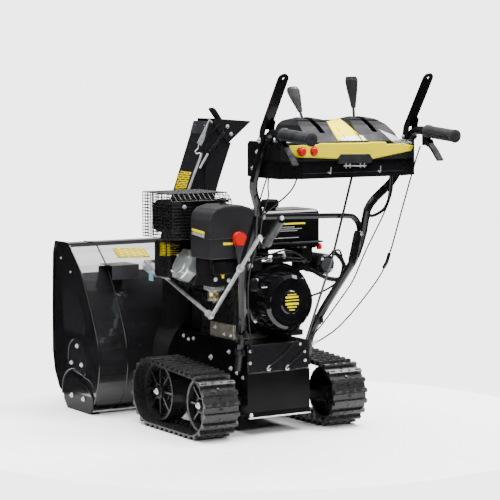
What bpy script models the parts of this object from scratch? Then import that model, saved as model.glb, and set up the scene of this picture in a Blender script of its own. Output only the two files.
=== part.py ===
"""Two stage snowblower on rubber tracks, modelled as an assembly of separate pieces.

Frame: metres, +Z up, +Y forward, +X to the operator's right, origin on the ground under
the middle of the machine. Sizes below are in millimetres and are scaled once, in MM.
"""
import math

import bmesh
import bpy
from mathutils import Matrix, Vector

MM = 0.001

# ---------------------------------------------------------------- driving dimensions (mm)
GAP = 0.35                      # air between neighbouring solids
HOUSING_HALF_WIDTH = 350.0
PLATE_THICKNESS = 3.0
SHELL_THICKNESS = 2.5
AUGER_AXIS = (546.0, 181.0)     # y, z of the auger shaft
AUGER_RADIUS = 143.0
DRUM_RADIUS = 154.0
DRUM_REAR = 288.0
CHUTE_AXIS = (-50.0, 362.0)     # x, y of the chute's turning axis
CHUTE_RING_Z = 482.3
FRAME_HALF_WIDTH = 114.0
FRAME_REAR = -155.0
FRAME_BOTTOM = 62.0
FRAME_TOP = 286.0
TRACK_OUTER = 297.0
TRACK_INNER = 174.0
FRONT_WHEEL = (158.0, 111.0)    # y, z of the wheel's axis
REAR_WHEEL = (-113.0, 103.0)
FRONT_WHEEL_RADIUS = 95.6
REAR_WHEEL_RADIUS = 87.6
BELT_BASE = 5.0
LUG_HEIGHT = 10.0
LUG_COUNT = 36
CRANK_AXIS = (40.0, 410.0)      # x, z of the engine's crankshaft
GRIP_X = 253.0
LEVER_PIVOT = (-499.5, 932.0)   # y, z of the paddle levers' bolts
TRIGGER_PIVOT = (-597.0, 920.0)
SHIFT_X = 92.0
SHIFT_PIVOT = (-505.0, 885.0)
WORM_CENTRE = (-156.5, 360.0, 484.0)
ROD_JOINT = (-162.0, -20.0, 364.0)
CRANK_ELBOW = (-262.0, -480.0, 654.0)
CRANK_ARM = 34.0
CRANK_SWING = 15.0              # how far the arm stands off straight down, in degrees
CRANK_GRIP_LENGTH = 156.0
CRANK_EYE_REACH = 340.0         # from the universal joint to the eye on the handle
CRANK_EYE_TUBE = (-202.0, -288.0, 557.0)  # point in the left handle tube that the eye aims at
HANDLE_RADIUS = 12.5
DEFLECTOR_HINGE = (42.0, 968.0)  # x, z

# ---------------------------------------------------------------- scene and materials
for stale in list(bpy.data.objects):
    bpy.data.objects.remove(stale)

PARTS = bpy.data.collections.new("two_stage_snowblower")
bpy.context.scene.collection.children.link(PARTS)


def material(name, colour, roughness, metallic=0.0):
    """Principled material with one plain finish."""
    made = bpy.data.materials.new(name)
    made.use_nodes = True
    shader = made.node_tree.nodes["Principled BSDF"]
    shader.inputs["Base Color"].default_value = (*colour, 1.0)
    shader.inputs["Roughness"].default_value = roughness
    shader.inputs["Metallic"].default_value = metallic
    return made


BLACK_PAINT = material("gloss_black_paint", (0.012, 0.012, 0.013), 0.18)
SATIN_BLACK = material("satin_black_paint", (0.02, 0.02, 0.022), 0.4)
BLACK_PLASTIC = material("black_plastic", (0.025, 0.025, 0.027), 0.5)
GREY_PLASTIC = material("grey_plastic", (0.13, 0.13, 0.14), 0.45)
RUBBER = material("black_rubber", (0.03, 0.03, 0.03), 0.8)
ZINC = material("zinc_plate", (0.7, 0.71, 0.72), 0.3, 1.0)
ALUMINIUM = material("cast_aluminium", (0.55, 0.55, 0.54), 0.45, 1.0)
SOOT_STEEL = material("heatproof_steel", (0.06, 0.06, 0.06), 0.6, 0.6)
RED_PLASTIC = material("red_plastic", (0.7, 0.03, 0.03), 0.35)

ACROSS = {
    "X": Matrix(((0, 0, 1), (1, 0, 0), (0, 1, 0))).to_4x4(),
    "Y": Matrix(((1, 0, 0), (0, 0, -1), (0, 1, 0))).to_4x4(),
    "Z": Matrix.Identity(4),
}


# ---------------------------------------------------------------- modelling helpers
def evaluated_mesh(ob):
    """The object's mesh with its modifiers, as separate data."""
    graph = bpy.context.evaluated_depsgraph_get()
    return bpy.data.meshes.new_from_object(ob.evaluated_get(graph))


def baked(ob, matrix):
    """Replace a working object by a welded mesh object with its placement baked in."""
    mesh = evaluated_mesh(ob)
    mesh.transform(matrix)
    bpy.data.objects.remove(ob)
    body = bmesh.new()
    body.from_mesh(mesh)
    bmesh.ops.remove_doubles(body, verts=body.verts, dist=1e-5)
    bmesh.ops.recalc_face_normals(body, faces=body.faces)
    body.to_mesh(mesh)
    body.free()
    made = bpy.data.objects.new("work", mesh)
    PARTS.objects.link(made)
    return made


def slab(points, across, low, high):
    """A flat outline with a thickness, lying across one axis between low and high."""
    curve = bpy.data.curves.new("slab", "CURVE")
    curve.dimensions = "2D"
    curve.fill_mode = "BOTH"
    curve.extrude = (high - low) / 2 * MM
    spline = curve.splines.new("POLY")
    spline.points.add(len(points) - 1)
    for knot, (first, second) in zip(spline.points, points):
        knot.co = (first * MM, second * MM, 0, 1)
    spline.use_cyclic_u = True
    ob = bpy.data.objects.new("slab", curve)
    PARTS.objects.link(ob)
    normal = ACROSS[across].to_3x3() @ Vector((0, 0, 1))
    shift = Vector([abs(part) for part in normal]) * ((low + high) / 2 * MM)
    return baked(ob, Matrix.Translation(shift) @ ACROSS[across])


def box(low, high, rounding=0.0, steps=2):
    """A box between two corners, with its edges rounded if asked."""
    body = bmesh.new()
    bmesh.ops.create_cube(body, size=1.0)
    size = [(b - a) * MM for a, b in zip(low, high)]
    middle = [(a + b) / 2 * MM for a, b in zip(low, high)]
    bmesh.ops.scale(body, vec=size, verts=body.verts)
    bmesh.ops.translate(body, vec=middle, verts=body.verts)
    if rounding:
        bmesh.ops.bevel(body, geom=body.edges[:], offset=rounding * MM, segments=steps,
                        profile=0.5, affect="EDGES")
    mesh = bpy.data.meshes.new("box")
    body.to_mesh(mesh)
    body.free()
    ob = bpy.data.objects.new("box", mesh)
    PARTS.objects.link(ob)
    return ob


def turned(profile, axis, centre, steps=32):
    """A profile of (radius, distance along the axis) points turned about an axis."""
    mesh = bpy.data.meshes.new("turned")
    edges = [(i, i + 1) for i in range(len(profile) - 1)]
    if profile[0][0] > 0:
        edges.append((len(profile) - 1, 0))
    mesh.from_pydata([(r * MM, 0, t * MM) for r, t in profile], edges, [])
    ob = bpy.data.objects.new("turned", mesh)
    PARTS.objects.link(ob)
    screw = ob.modifiers.new("turn", "SCREW")
    screw.steps = steps
    screw.render_steps = steps
    screw.use_merge_vertices = True
    screw.merge_threshold = 0.00001
    direction = Vector(axis).normalized()
    turn = Vector((0, 0, 1)).rotation_difference(direction).to_matrix().to_4x4()
    return baked(ob, Matrix.Translation(Vector(centre) * MM) @ turn)


def rod(start, end, radius, steps=16, bore=0.0):
    """A straight round bar, or a tube if it has a bore."""
    length = (Vector(end) - Vector(start)).length
    profile = [(0, 0), (radius, 0), (radius, length), (0, length)]
    if bore:
        profile = [(bore, 0), (radius, 0), (radius, length), (bore, length)]
    return turned(profile, Vector(end) - Vector(start), start, steps)


def smooth_path(points, steps=4):
    """Points of a smooth curve that passes through all the given points."""
    knots = [Vector(p) for p in points]
    ends = [2 * knots[0] - knots[1]] + knots + [2 * knots[-1] - knots[-2]]
    path = []
    for i in range(1, len(ends) - 2):
        a, b, c, d = ends[i - 1:i + 3]
        for k in range(steps):
            t = k / steps
            path.append(0.5 * (2 * b + (c - a) * t + (2 * a - 5 * b + 4 * c - d) * t * t
                               + (3 * b - a - 3 * c + d) * t * t * t))
    path.append(knots[-1])
    return path


def pipe(path, radius, resolution=2):
    """A round tube, solid inside, along a path."""
    curve = bpy.data.curves.new("pipe", "CURVE")
    curve.dimensions = "3D"
    curve.bevel_depth = radius * MM
    curve.bevel_resolution = resolution
    curve.use_fill_caps = True
    spline = curve.splines.new("POLY")
    spline.points.add(len(path) - 1)
    for knot, point in zip(spline.points, path):
        knot.co = (point[0] * MM, point[1] * MM, point[2] * MM, 1)
    ob = bpy.data.objects.new("pipe", curve)
    PARTS.objects.link(ob)
    return baked(ob, Matrix.Identity(4))


def moved(ob, matrix):
    """Apply a placement, in millimetres, to a working object's mesh."""
    scaled = matrix.copy()
    scaled.translation = matrix.translation * MM
    ob.data.transform(scaled)
    return ob


def mirrored(ob):
    """Turn a left-hand working object into the right-hand one."""
    ob.data.transform(Matrix.Scale(-1, 4, (1, 0, 0)))
    ob.data.flip_normals()
    return ob


def combined(first, others, operation):
    """Boolean of a working object with others, which are used up."""
    for other in others:
        step = first.modifiers.new("combine", "BOOLEAN")
        step.operation = operation
        step.solver = "EXACT"
        step.object = other
        mesh = evaluated_mesh(first)
        first.modifiers.clear()
        body = bmesh.new()
        body.from_mesh(mesh)
        bmesh.ops.remove_doubles(body, verts=body.verts, dist=2e-6)
        bmesh.ops.dissolve_degenerate(body, edges=body.edges, dist=1e-6)
        body.to_mesh(mesh)
        body.free()
        first.data = mesh
        bpy.data.objects.remove(other)
    return first


def joined(first, *others):
    return combined(first, others, "UNION")


def cut(first, *others):
    return combined(first, others, "DIFFERENCE")


def finish(ob, name, finish_material, origin=(0, 0, 0), smooth=35):
    """Name a piece, give it its material and put its origin on its own axis."""
    ob.name = name
    ob.data.name = name
    ob.data.materials.clear()
    ob.data.materials.append(finish_material)
    at = Vector(origin) * MM
    ob.data.transform(Matrix.Translation(-at))
    ob.location = at
    ob.data.shade_smooth()
    ob.data.set_sharp_from_angle(angle=math.radians(smooth))
    return ob


def strip(points, thickness):
    """Closed outline of a bent sheet, given the line down its middle."""
    left = []
    right = []
    for i, point in enumerate(points):
        before = Vector(points[max(i - 1, 0)])
        after = Vector(points[min(i + 1, len(points) - 1)])
        run = (after - before).normalized()
        side = Vector((-run.y, run.x)) * (thickness / 2)
        left.append(tuple(Vector(point) + side))
        right.append(tuple(Vector(point) - side))
    return left + right[::-1]


def flat_path(points, steps):
    """Smooth curve through flat points."""
    return [(p.x, p.y) for p in smooth_path([(a, b, 0) for a, b in points], steps)]


def circle(centre, radius, count, start=0.0):
    return [(centre[0] + radius * math.cos(start + math.tau * i / count),
             centre[1] + radius * math.sin(start + math.tau * i / count)) for i in range(count)]


def both_sides(build, name, finish_material, origin):
    """Make the left-hand piece and its mirror image on the right."""
    for side, sign in (("left", 1), ("right", -1)):
        ob = build()
        if sign < 0:
            mirrored(ob)
        finish(ob, f"{name}_{side}", finish_material, (origin[0] * sign, origin[1], origin[2]))


# ---------------------------------------------------------------- auger housing
BACK_WALL = [(706, 552), (622, 550), (584, 522), (523, 465), (466, 378), (418, 286), (398, 223),
             (393, 157), (408, 91), (438, 42), (478, 15), (502, 12)]
PLATE_OUTLINE = [(714, 557), (729, 520), (738, 355), (739.5, 182), (725, 115), (688, 57), (642, 26),
                 (590, 9), (520, 7), (437, 35), (406, 89), (390, 157), (396, 223), (416, 287),
                 (465, 381), (522, 469), (584, 529), (620, 556)]


def housing_shell():
    wall = flat_path(BACK_WALL, 3)
    half = HOUSING_HALF_WIDTH - PLATE_THICKNESS - GAP
    shell = slab(strip(wall, SHELL_THICKNESS), "X", -half, half)
    mouth = rod((0, 340, AUGER_AXIS[1]), (0, 470, AUGER_AXIS[1]), DRUM_RADIUS - 2.8, 36)
    finish(cut(shell, mouth), "auger_housing", BLACK_PAINT)


def side_plate():
    inner = -(HOUSING_HALF_WIDTH - PLATE_THICKNESS)
    outer = -HOUSING_HALF_WIDTH
    plate = slab(PLATE_OUTLINE, "X", outer, inner)
    front = [(714, 557), (729, 520), (738, 355), (739.5, 182), (725, 115), (688, 57)]
    lip = front + [(y - 9, z + 1.5) for y, z in front[::-1]]
    panel = [(655, 412), (548, 412), (494, 300), (502, 262), (655, 262)]
    lip_rim = slab(lip, "X", outer - 3, inner - 0.5)
    emboss = slab(panel, "X", outer - 2, inner - 1)
    boss = slab(circle(AUGER_AXIS, 60, 20), "X", outer - 2.5, inner - 1)
    return joined(plate, lip_rim, emboss, boss)


def skid_shoe():
    outer = -(HOUSING_HALF_WIDTH + 6)
    web = [(430, 60), (430, 24), (452, 0), (622, 0), (650, 30), (650, 60)]
    plate = slab(web, "X", outer, outer + 2.6)
    foot = box((outer + 0.5, 454, 0), (outer + 36, 618, 4))
    return joined(plate, foot)


def scraper_bar():
    half = HOUSING_HALF_WIDTH - PLATE_THICKNESS - 2
    finish(box((-half, 462, 5), (half, 522, 10)), "scraper_bar", ZINC)


# ---------------------------------------------------------------- impeller housing and drives
def impeller_housing():
    y_front = 475
    z_axis = AUGER_AXIS[1]
    outlet = (CHUTE_AXIS[0], CHUTE_AXIS[1])
    drum = rod((0, DRUM_REAR, z_axis), (0, y_front, z_axis), DRUM_RADIUS, 36)
    collar = rod((*outlet, z_axis), (*outlet, CHUTE_RING_Z - GAP), 72, 24)
    room = rod((0, DRUM_REAR + 3, z_axis), (0, y_front + 20, z_axis), DRUM_RADIUS - 2.8, 36)
    throat = rod((*outlet, z_axis), (*outlet, CHUTE_RING_Z + 20), 69.4, 24)
    bearing = rod((0, DRUM_REAR - 20, z_axis), (0, DRUM_REAR + 20, z_axis), 11.5, 14)
    wall = flat_path(BACK_WALL, 3)
    wall_rear = strip(wall, SHELL_THICKNESS + 2 * GAP)[:len(wall) - 1:-1]
    auger_room = slab(wall_rear + [(900, 12), (900, 552)], "X", -400, 400)
    body = cut(joined(drum, collar), auger_room)
    finish(cut(body, joined(room, throat, bearing)), "impeller_housing", BLACK_PAINT)


def auger_gearbox():
    y, z = AUGER_AXIS
    case = turned([(0, -54), (26, -54), (30, -40), (46, -28), (46, 28), (30, 40), (26, 54), (0, 54)],
                  (1, 0, 0), (0, y, z), 18)
    nose = rod((0, 478, z), (0, y, z), 27, 16)
    cross_bore = rod((-80, y, z), (80, y, z), 13.4, 14)
    rear_bore = rod((0, 470, z), (0, 522, z), 10.8, 14)
    finish(cut(joined(case, nose), cross_bore, rear_bore), "auger_gearbox", ALUMINIUM)


def auger():
    """Left flight with its half of the shaft: a toothed ribbon carried on spokes."""
    y, z = AUGER_AXIS
    x_end = -338.0
    x_inner = -62.0
    turns = 1.25
    count = 30
    body = bmesh.new()
    rings = []
    for i in range(count + 1):
        share = i / count
        angle = math.tau * turns * share
        x = x_end + 6 + (x_inner - x_end - 12) * share
        outer = AUGER_RADIUS if i % 2 else AUGER_RADIUS - 5
        corners = []
        for radius, lean in ((96, -2), (outer, -2), (outer, 2), (96, 2)):
            corners.append(body.verts.new(Vector((x + lean, y + radius * math.cos(angle),
                                                  z + radius * math.sin(angle))) * MM))
        rings.append(corners)
    for near, far in zip(rings[:-1], rings[1:]):
        for k in range(4):
            body.faces.new((near[k], near[(k + 1) % 4], far[(k + 1) % 4], far[k]))
    body.faces.new(rings[0])
    body.faces.new(rings[-1][::-1])
    bmesh.ops.recalc_face_normals(body, faces=body.faces)
    mesh = bpy.data.meshes.new("ribbon")
    body.to_mesh(mesh)
    body.free()
    ribbon = bpy.data.objects.new("ribbon", mesh)
    PARTS.objects.link(ribbon)
    shaft = turned([(0, -346.3), (12.7, -346.3), (12.7, x_end), (18, x_end), (18, x_inner),
                    (12.7, x_inner), (12.7, -0.4), (0, -0.4)], (1, 0, 0), (0, y, z), 12)
    spokes = []
    for share in (0.03, 0.35, 0.66, 0.97):
        angle = math.tau * turns * share
        x = x_end + 6 + (x_inner - x_end - 12) * share
        reach = Vector((0, math.cos(angle), math.sin(angle)))
        root = Vector((x, y, z))
        spokes.append(rod(root + reach * 10, root + reach * 103, 5, 6))
    return joined(shaft, ribbon, *spokes)


def impeller():
    z = AUGER_AXIS[1]
    body = rod((0, 250, z), (0, 521, z), 10.2, 12)
    hub = rod((0, 300, z), (0, 378, z), 27, 14)
    blades = []
    for k in range(4):
        blade = box((-3, 306, 20), (3, 372, 146))
        turn = Matrix.Translation((0, 0, z)) @ Matrix.Rotation(math.tau * k / 4 + 0.4, 4, "Y")
        blades.append(moved(blade, turn))
    finish(joined(body, hub, *blades), "impeller", BLACK_PAINT, (0, 340, z))


# ---------------------------------------------------------------- chute
CHUTE_HALF_DEPTH = 53.0
CHUTE_BACK = [(-118, 484), (-117, 540), (-92, 640), (-54, 745), (18, 945),
              (25, 966)]
CHUTE_FRONT = [(103, 893), (48, 743), (28, 640), (20, 560), (19, 484)]


def chute():
    cx, cy = CHUTE_AXIS
    teeth = 40
    rim = []
    for i in range(teeth * 2):
        radius = 93.5 if i % 2 else 89.0
        angle = math.tau * (i + 0.5) / (teeth * 2)
        rim.append((cx + radius * math.cos(angle), cy + radius * math.sin(angle)))
    ring = slab(rim, "Z", CHUTE_RING_Z, CHUTE_RING_Z + 8)
    body = slab(CHUTE_BACK + CHUTE_FRONT, "Y", cy - CHUTE_HALF_DEPTH, cy + CHUTE_HALF_DEPTH)
    inner_back = [(x + 3.2, z) for x, z in CHUTE_BACK]
    inner_back[0] = (inner_back[0][0], 470)
    inner_back[-1] = (inner_back[-1][0] + 6.3, 985)
    room = slab(inner_back + [(200, 985), (200, 600), (16, 600), (16, 470)], "Y",
                cy - CHUTE_HALF_DEPTH + 3, cy + CHUTE_HALF_DEPTH - 3)
    finish(cut(joined(body, ring), room), "chute", BLACK_PAINT, (cx, cy, CHUTE_RING_Z))


def deflector():
    hx, hz = DEFLECTOR_HINGE
    cy = CHUTE_AXIS[1]
    half = CHUTE_HALF_DEPTH + 4
    clear = CHUTE_HALF_DEPTH + 0.6
    outer = [(40, 975), (182, 964), (97, 895), (84, 900), (40, 950)]
    body = slab(outer, "Y", cy - half, cy + half)
    inside = [(20, 972), (174, 960.5), (230, 880), (80, 860), (20, 900)]
    room = slab(inside, "Y", cy - clear, cy + clear)
    tab = slab([(83, 969), (98, 968), (72, 1004), (62, 1010), (56, 1004)], "Y", cy - 12, cy + 12)
    finish(joined(cut(body, room), tab), "deflector", BLACK_PAINT, (hx, cy, hz))


# ---------------------------------------------------------------- chute crank
def along(start, end):
    """Frame with its Z axis from start towards end, in millimetres."""
    direction = (Vector(end) - Vector(start)).normalized()
    turn = Vector((0, 0, 1)).rotation_difference(direction).to_matrix().to_4x4()
    return Matrix.Translation(start) @ turn


def worm_bracket():
    frame = along(WORM_CENTRE, ROD_JOINT)
    back = box((-24, -16, -40), (-21, 16, 40))
    cheeks = [box((-22, -16, s * 36 - 2), (14, 16, s * 36 + 2)) for s in (-1, 1)]
    holes = rod((0, 0, -60), (0, 0, 60), 7.4, 16)
    bracket = cut(joined(back, *cheeks), holes)
    return finish(moved(bracket, frame), "worm_bracket", ZINC)


def worm_rod():
    length = (Vector(ROD_JOINT) - Vector(WORM_CENTRE)).length
    profile = [(0, -46), (6.6, -46), (6.6, -30)]
    for k in range(6):
        z = -27 + k * 9
        profile += [(8.0, z), (11.0, z + 4.5)]
    profile += [(8.0, 27), (6.6, 29), (6.6, length - 26), (12.5, length - 24), (12.5, length - 2)]
    profile += [(10.6, length - 2), (10.6, length - 11), (0, length - 12)]
    body = turned(profile, (0, 0, 1), (0, 0, 0), 12)
    finish(moved(body, along(WORM_CENTRE, ROD_JOINT)), "worm_rod", ZINC, WORM_CENTRE)


def crank_frame():
    """Direction of the crank's shaft, and of the arm at its elbow."""
    axis = (Vector(CRANK_ELBOW) - Vector(ROD_JOINT)).normalized()
    down = -(Vector((0, 0, 1)) - axis * axis.z).normalized()
    swing = Matrix.Rotation(math.radians(CRANK_SWING), 3, axis)
    return axis, swing @ down


def crank_rod():
    axis, down = crank_frame()
    start = Vector(ROD_JOINT)
    elbow = Vector(CRANK_ELBOW)
    foot = elbow + down * CRANK_ARM
    path = [start + axis * 6, elbow - axis * 10, elbow - axis * 4, elbow + down * 2 - axis,
            elbow + down * 8, foot - down * 8, foot - down * 2 + axis, foot + axis * 6,
            foot + axis * (CRANK_GRIP_LENGTH + 20)]
    body = pipe(path, 6.2, 2)
    ball = turned([(0, -9.5), (5.5, -7.8), (9.2, -2.5), (9.2, 2.5), (5.5, 7.8), (0, 9.5)],
                  axis, start, 12)
    finish(joined(body, ball), "crank_rod", ZINC, ROD_JOINT)


def crank_grip():
    axis, down = crank_frame()
    foot = Vector(CRANK_ELBOW) + down * CRANK_ARM
    start = foot + axis * 14
    length = CRANK_GRIP_LENGTH
    bore = 6.7
    body = turned([(bore, 0), (14, 0), (15.5, 8), (13, 30), (14.5, length * 0.6), (12, length - 6),
                   (bore, length)], axis, start, 14)
    finish(body, "crank_grip", BLACK_PLASTIC, start)


def crank_eye():
    """Eye that carries the crank's shaft, on a stem against the left handle tube."""
    axis, _ = crank_frame()
    centre = Vector(ROD_JOINT) + axis * CRANK_EYE_REACH
    tube = Vector(CRANK_EYE_TUBE) - centre
    reach = tube.length - HANDLE_RADIUS - GAP
    ring = rod(centre - axis * 5, centre + axis * 5, 11.5, 16, 7.0)
    stem = rod(centre + tube.normalized() * 9, centre + tube.normalized() * reach, 4, 10)
    finish(joined(ring, stem), "crank_eye", ZINC, centre)


# ---------------------------------------------------------------- tractor frame and tracks
def tractor_frame():
    half = FRAME_HALF_WIDTH
    wall = 3.5
    front = DRUM_REAR - GAP
    body = box((-half, FRAME_REAR, FRAME_BOTTOM), (half, front, FRAME_TOP))
    room = box((-half + wall, FRAME_REAR + wall, FRAME_BOTTOM + wall),
               (half - wall, front + 30, FRAME_TOP - wall))
    belt_slot = box((-90, 196, FRAME_TOP - 20), (105, 276, FRAME_TOP + 20))
    lip = slab([(FRAME_REAR + 2, 74), (FRAME_REAR - 5, 70), (FRAME_REAR - 9, 55), (FRAME_REAR + 12, 55),
                (FRAME_REAR + 12, 64)], "X", -half, half)
    cover = box((-half, FRAME_REAR - 4, 72), (half, FRAME_REAR + 2, 194))
    finish(joined(cut(body, room, belt_slot), cover, lip), "tractor_frame", SATIN_BLACK)


def track_loop():
    """Belt outline with its lugs, as (inner, outer) pairs of points round the loop."""
    front = Vector(FRONT_WHEEL)
    rear = Vector(REAR_WHEEL)
    r_front = FRONT_WHEEL_RADIUS + GAP
    r_rear = REAR_WHEEL_RADIUS + GAP
    span = front - rear
    base = math.atan2(span.y, span.x)
    swing = math.acos((r_front - r_rear) / span.length)
    straight = math.sqrt(span.length ** 2 - (r_front - r_rear) ** 2)
    front_length = r_front * 2 * swing
    rear_length = r_rear * (math.tau - 2 * swing)
    total = front_length + rear_length + 2 * straight

    def at(distance):
        s = distance % total
        if s < front_length:
            angle = base - swing + s / r_front
            normal = Vector((math.cos(angle), math.sin(angle)))
            return front + normal * r_front, normal
        s -= front_length
        top = Vector((math.cos(base + swing), math.sin(base + swing)))
        if s < straight:
            return (front + top * r_front).lerp(rear + top * r_rear, s / straight), top
        s -= straight
        if s < rear_length:
            angle = base + swing + s / r_rear
            normal = Vector((math.cos(angle), math.sin(angle)))
            return rear + normal * r_rear, normal
        s -= rear_length
        low = Vector((math.cos(base - swing), math.sin(base - swing)))
        return (rear + low * r_rear).lerp(front + low * r_front, s / straight), low

    pitch = total / LUG_COUNT
    pairs = []
    for k in range(LUG_COUNT):
        for share, height in ((0.0, 0), (0.08, 1), (0.42, 1), (0.50, 0)):
            point, normal = at((k + share) * pitch)
            outer = point + normal * (BELT_BASE + LUG_HEIGHT * height)
            pairs.append((point, outer))
    return pairs


def track():
    """One rubber belt, a closed loop with a lug on every pitch."""
    body = bmesh.new()
    rings = []
    for inner, outer in track_loop():
        ring = []
        for x, point in ((-TRACK_OUTER, inner), (-TRACK_OUTER, outer),
                         (-TRACK_INNER, outer), (-TRACK_INNER, inner)):
            ring.append(body.verts.new(Vector((x, point.x, point.y)) * MM))
        rings.append(ring)
    for i, near in enumerate(rings):
        far = rings[(i + 1) % len(rings)]
        for k in range(4):
            body.faces.new((near[k], near[(k + 1) % 4], far[(k + 1) % 4], far[k]))
    bmesh.ops.recalc_face_normals(body, faces=body.faces)
    mesh = bpy.data.meshes.new("track")
    body.to_mesh(mesh)
    body.free()
    ob = bpy.data.objects.new("track", mesh)
    PARTS.objects.link(ob)
    return ob


def wheel(radius):
    """Track wheel about X at the origin: rim, recessed web, hub and ribs."""
    face = -257.0
    back = -196.0
    profile = [(10.6, face), (24, face), (26, face + 26), (radius - 14, face + 26),
               (radius - 9, face + 1), (radius, face), (radius, back),
               (radius - 11, back), (radius - 12, face + 34), (26, face + 34), (26, back), (10.6, back)]
    body = turned(profile, (1, 0, 0), (0, 0, 0), 24)
    ribs = []
    for k in range(8):
        rib = box((face + 6, -3, 20), (face + 30, 3, radius - 8))
        ribs.append(moved(rib, Matrix.Rotation(math.tau * k / 8, 4, "X")))
    return joined(body, *ribs)


def wheels():
    for end, (y, z), radius in (("front", FRONT_WHEEL, FRONT_WHEEL_RADIUS),
                                ("rear", REAR_WHEEL, REAR_WHEEL_RADIUS)):
        both_sides(lambda: moved(wheel(radius), Matrix.Translation((0, y, z))),
                   f"wheel_{end}", BLACK_PLASTIC, (-(TRACK_OUTER + TRACK_INNER) / 2, y, z))


def track_frame():
    """Side rail with the two stub axles that the wheels turn on."""
    outline = [(-135, 82), (-135, 124), (-100, 132), (150, 140), (182, 128), (182, 92), (150, 84),
               (-100, 76)]
    rail = slab(outline, "X", -194, -186)
    axles = []
    for y, z in (FRONT_WHEEL, REAR_WHEEL):
        axles.append(turned([(0, -263), (12, -263), (14.5, -260), (14.5, -257.5), (10, -257.5),
                             (10, -195.5), (15, -195.5), (15, -FRAME_HALF_WIDTH - GAP),
                             (0, -FRAME_HALF_WIDTH - GAP)],
                            (1, 0, 0), (0, y, z), 12))
    return joined(rail, *axles)


# ---------------------------------------------------------------- engine
def engine_block():
    cx, cz = CRANK_AXIS
    case = box((-95, -57, 300), (150, 165, 505), 12, 2)
    foot = box((-100, -52, FRAME_TOP + GAP), (158, 158, 304))
    lean = Matrix.Translation((cx, 110, cz)) @ Matrix.Rotation(math.radians(25), 4, "Y")
    cylinder = moved(box((-222, -52, -50), (-60, 52, 56), 5, 1), lean)
    fins = [moved(box((x, -56, -54), (x + 4, 56, 60)), lean) for x in range(-216, -140, 15)]
    nose = rod((cx, 150, cz), (cx, 190, cz), 46, 16)
    duct = box((-212, 170, 470), (-70, 268, 588), 8, 1)
    link = box((-110, 150, 474), (-74, 180, 500))
    finish(joined(case, foot, cylinder, *fins, nose, link, duct), "engine_block", ALUMINIUM)


def rocker_cover():
    cx, cz = CRANK_AXIS
    corners = [(-52, -20), (-52, 18), (-30, 50), (30, 50), (52, 18), (52, -20), (28, -50), (-28, -50)]
    plate = slab(corners, "X", -262, -222.5)
    lean = Matrix.Translation((cx, 110, cz + 3)) @ Matrix.Rotation(math.radians(25), 4, "Y")
    shape = moved(plate, lean)
    soften = shape.modifiers.new("round", "BEVEL")
    soften.width = 7 * MM
    soften.segments = 2
    soften.limit_method = "ANGLE"
    finish(baked(shape, Matrix.Identity(4)), "rocker_cover", ALUMINIUM)


def fan_shroud():
    cx, cz = CRANK_AXIS
    body = turned([(0, -97), (108, -97), (119, -90), (121, -57.5), (0, -57.5)], (0, 1, 0),
                  (cx, 0, cz), 32)
    finish(body, "fan_shroud", BLACK_PLASTIC)


def recoil_starter():
    cx, cz = CRANK_AXIS
    profile = [(0, -172), (34, -172), (38, -168), (76, -166), (86, -158), (89, -110), (92, -97.4),
               (0, -97.4)]
    body = turned(profile, (0, 1, 0), (cx, 0, cz), 30)
    exit_lug = box((-58, -150, 438), (-30, -124, 462), 3, 1)
    finish(joined(body, exit_lug), "recoil_starter", BLACK_PLASTIC)


def recoil_grip():
    bar = box((-96, -160, 450), (-74, -142, 490), 7, 2)
    finish(bar, "recoil_grip", BLACK_PLASTIC, (-85, -151, 470))


def fuel_tank():
    body = box((-14, -78, 566), (210, 72, 692), 16, 3)
    neck = rod((60, -10, 680), (60, -10, 698), 20, 16)
    finish(joined(body, neck), "fuel_tank", BLACK_PLASTIC)


def fuel_cap():
    profile = [(0, 699), (26, 699), (28, 703), (28, 718), (25, 723), (0, 725)]
    body = turned(profile, (0, 0, 1), (60, -10, 0), 20)
    finish(body, "fuel_cap", BLACK_PLASTIC, (60, -10, 699))


def carb_cover():
    outline = [(-201, 548), (-201, 670), (-194, 692), (-178, 706), (-146, 715), (-88, 715),
               (-56, 706), (-40, 692), (-32, 670), (-32, 548)]
    inside = [(-196.5, 540), (-196.5, 669), (-190, 689), (-176, 701.5), (-145, 710.2), (-89, 710.2),
              (-58, 701.5), (-44, 689), (-36.5, 669), (-36.5, 540)]
    shape = slab(outline, "Y", -84, 45)
    soften = shape.modifiers.new("round", "BEVEL")
    soften.width = 10 * MM
    soften.segments = 2
    soften.limit_method = "ANGLE"
    room = slab(inside, "Y", -79.5, 40.5)
    finish(cut(baked(shape, Matrix.Identity(4)), room), "carb_cover", GREY_PLASTIC)


def carburetor():
    body = box((-152, -4, 440), (-100, 50, 530), 5, 1)
    bowl = rod((-126, 23, 408), (-126, 23, 445), 22, 20)
    throat = rod((-126, 23, 520), (-126, 23, 547), 20, 20)
    finish(joined(body, bowl, throat), "carburetor", ZINC)


CHOKE_PIVOT = (-93.0, -96.0, 508.0)


def choke_lever():
    x, y, z = CHOKE_PIVOT
    outline = [(x - 9, z - 10), (x + 9, z - 10), (x + 28, z + 92), (x + 22, z + 100), (x - 30, z + 100)]
    stalk = slab(outline, "Y", y - 5, y + 3)
    cap = rod((x - 12, y - 12, z + 104), (x - 12, y + 6, z + 104), 21, 24)
    finish(joined(stalk, cap), "choke_lever", GREY_PLASTIC, CHOKE_PIVOT)


def muffler():
    can = box((-240, 76, 616), (-58, 238, 722), 24, 2)
    chamber = box((-235, 81, 621), (-63, 233, 717), 19, 2)
    outlet = rod((-250, 120, 650), (-200, 120, 650), 11, 14)
    finish(cut(can, joined(chamber, outlet)), "muffler", SOOT_STEEL)


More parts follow.
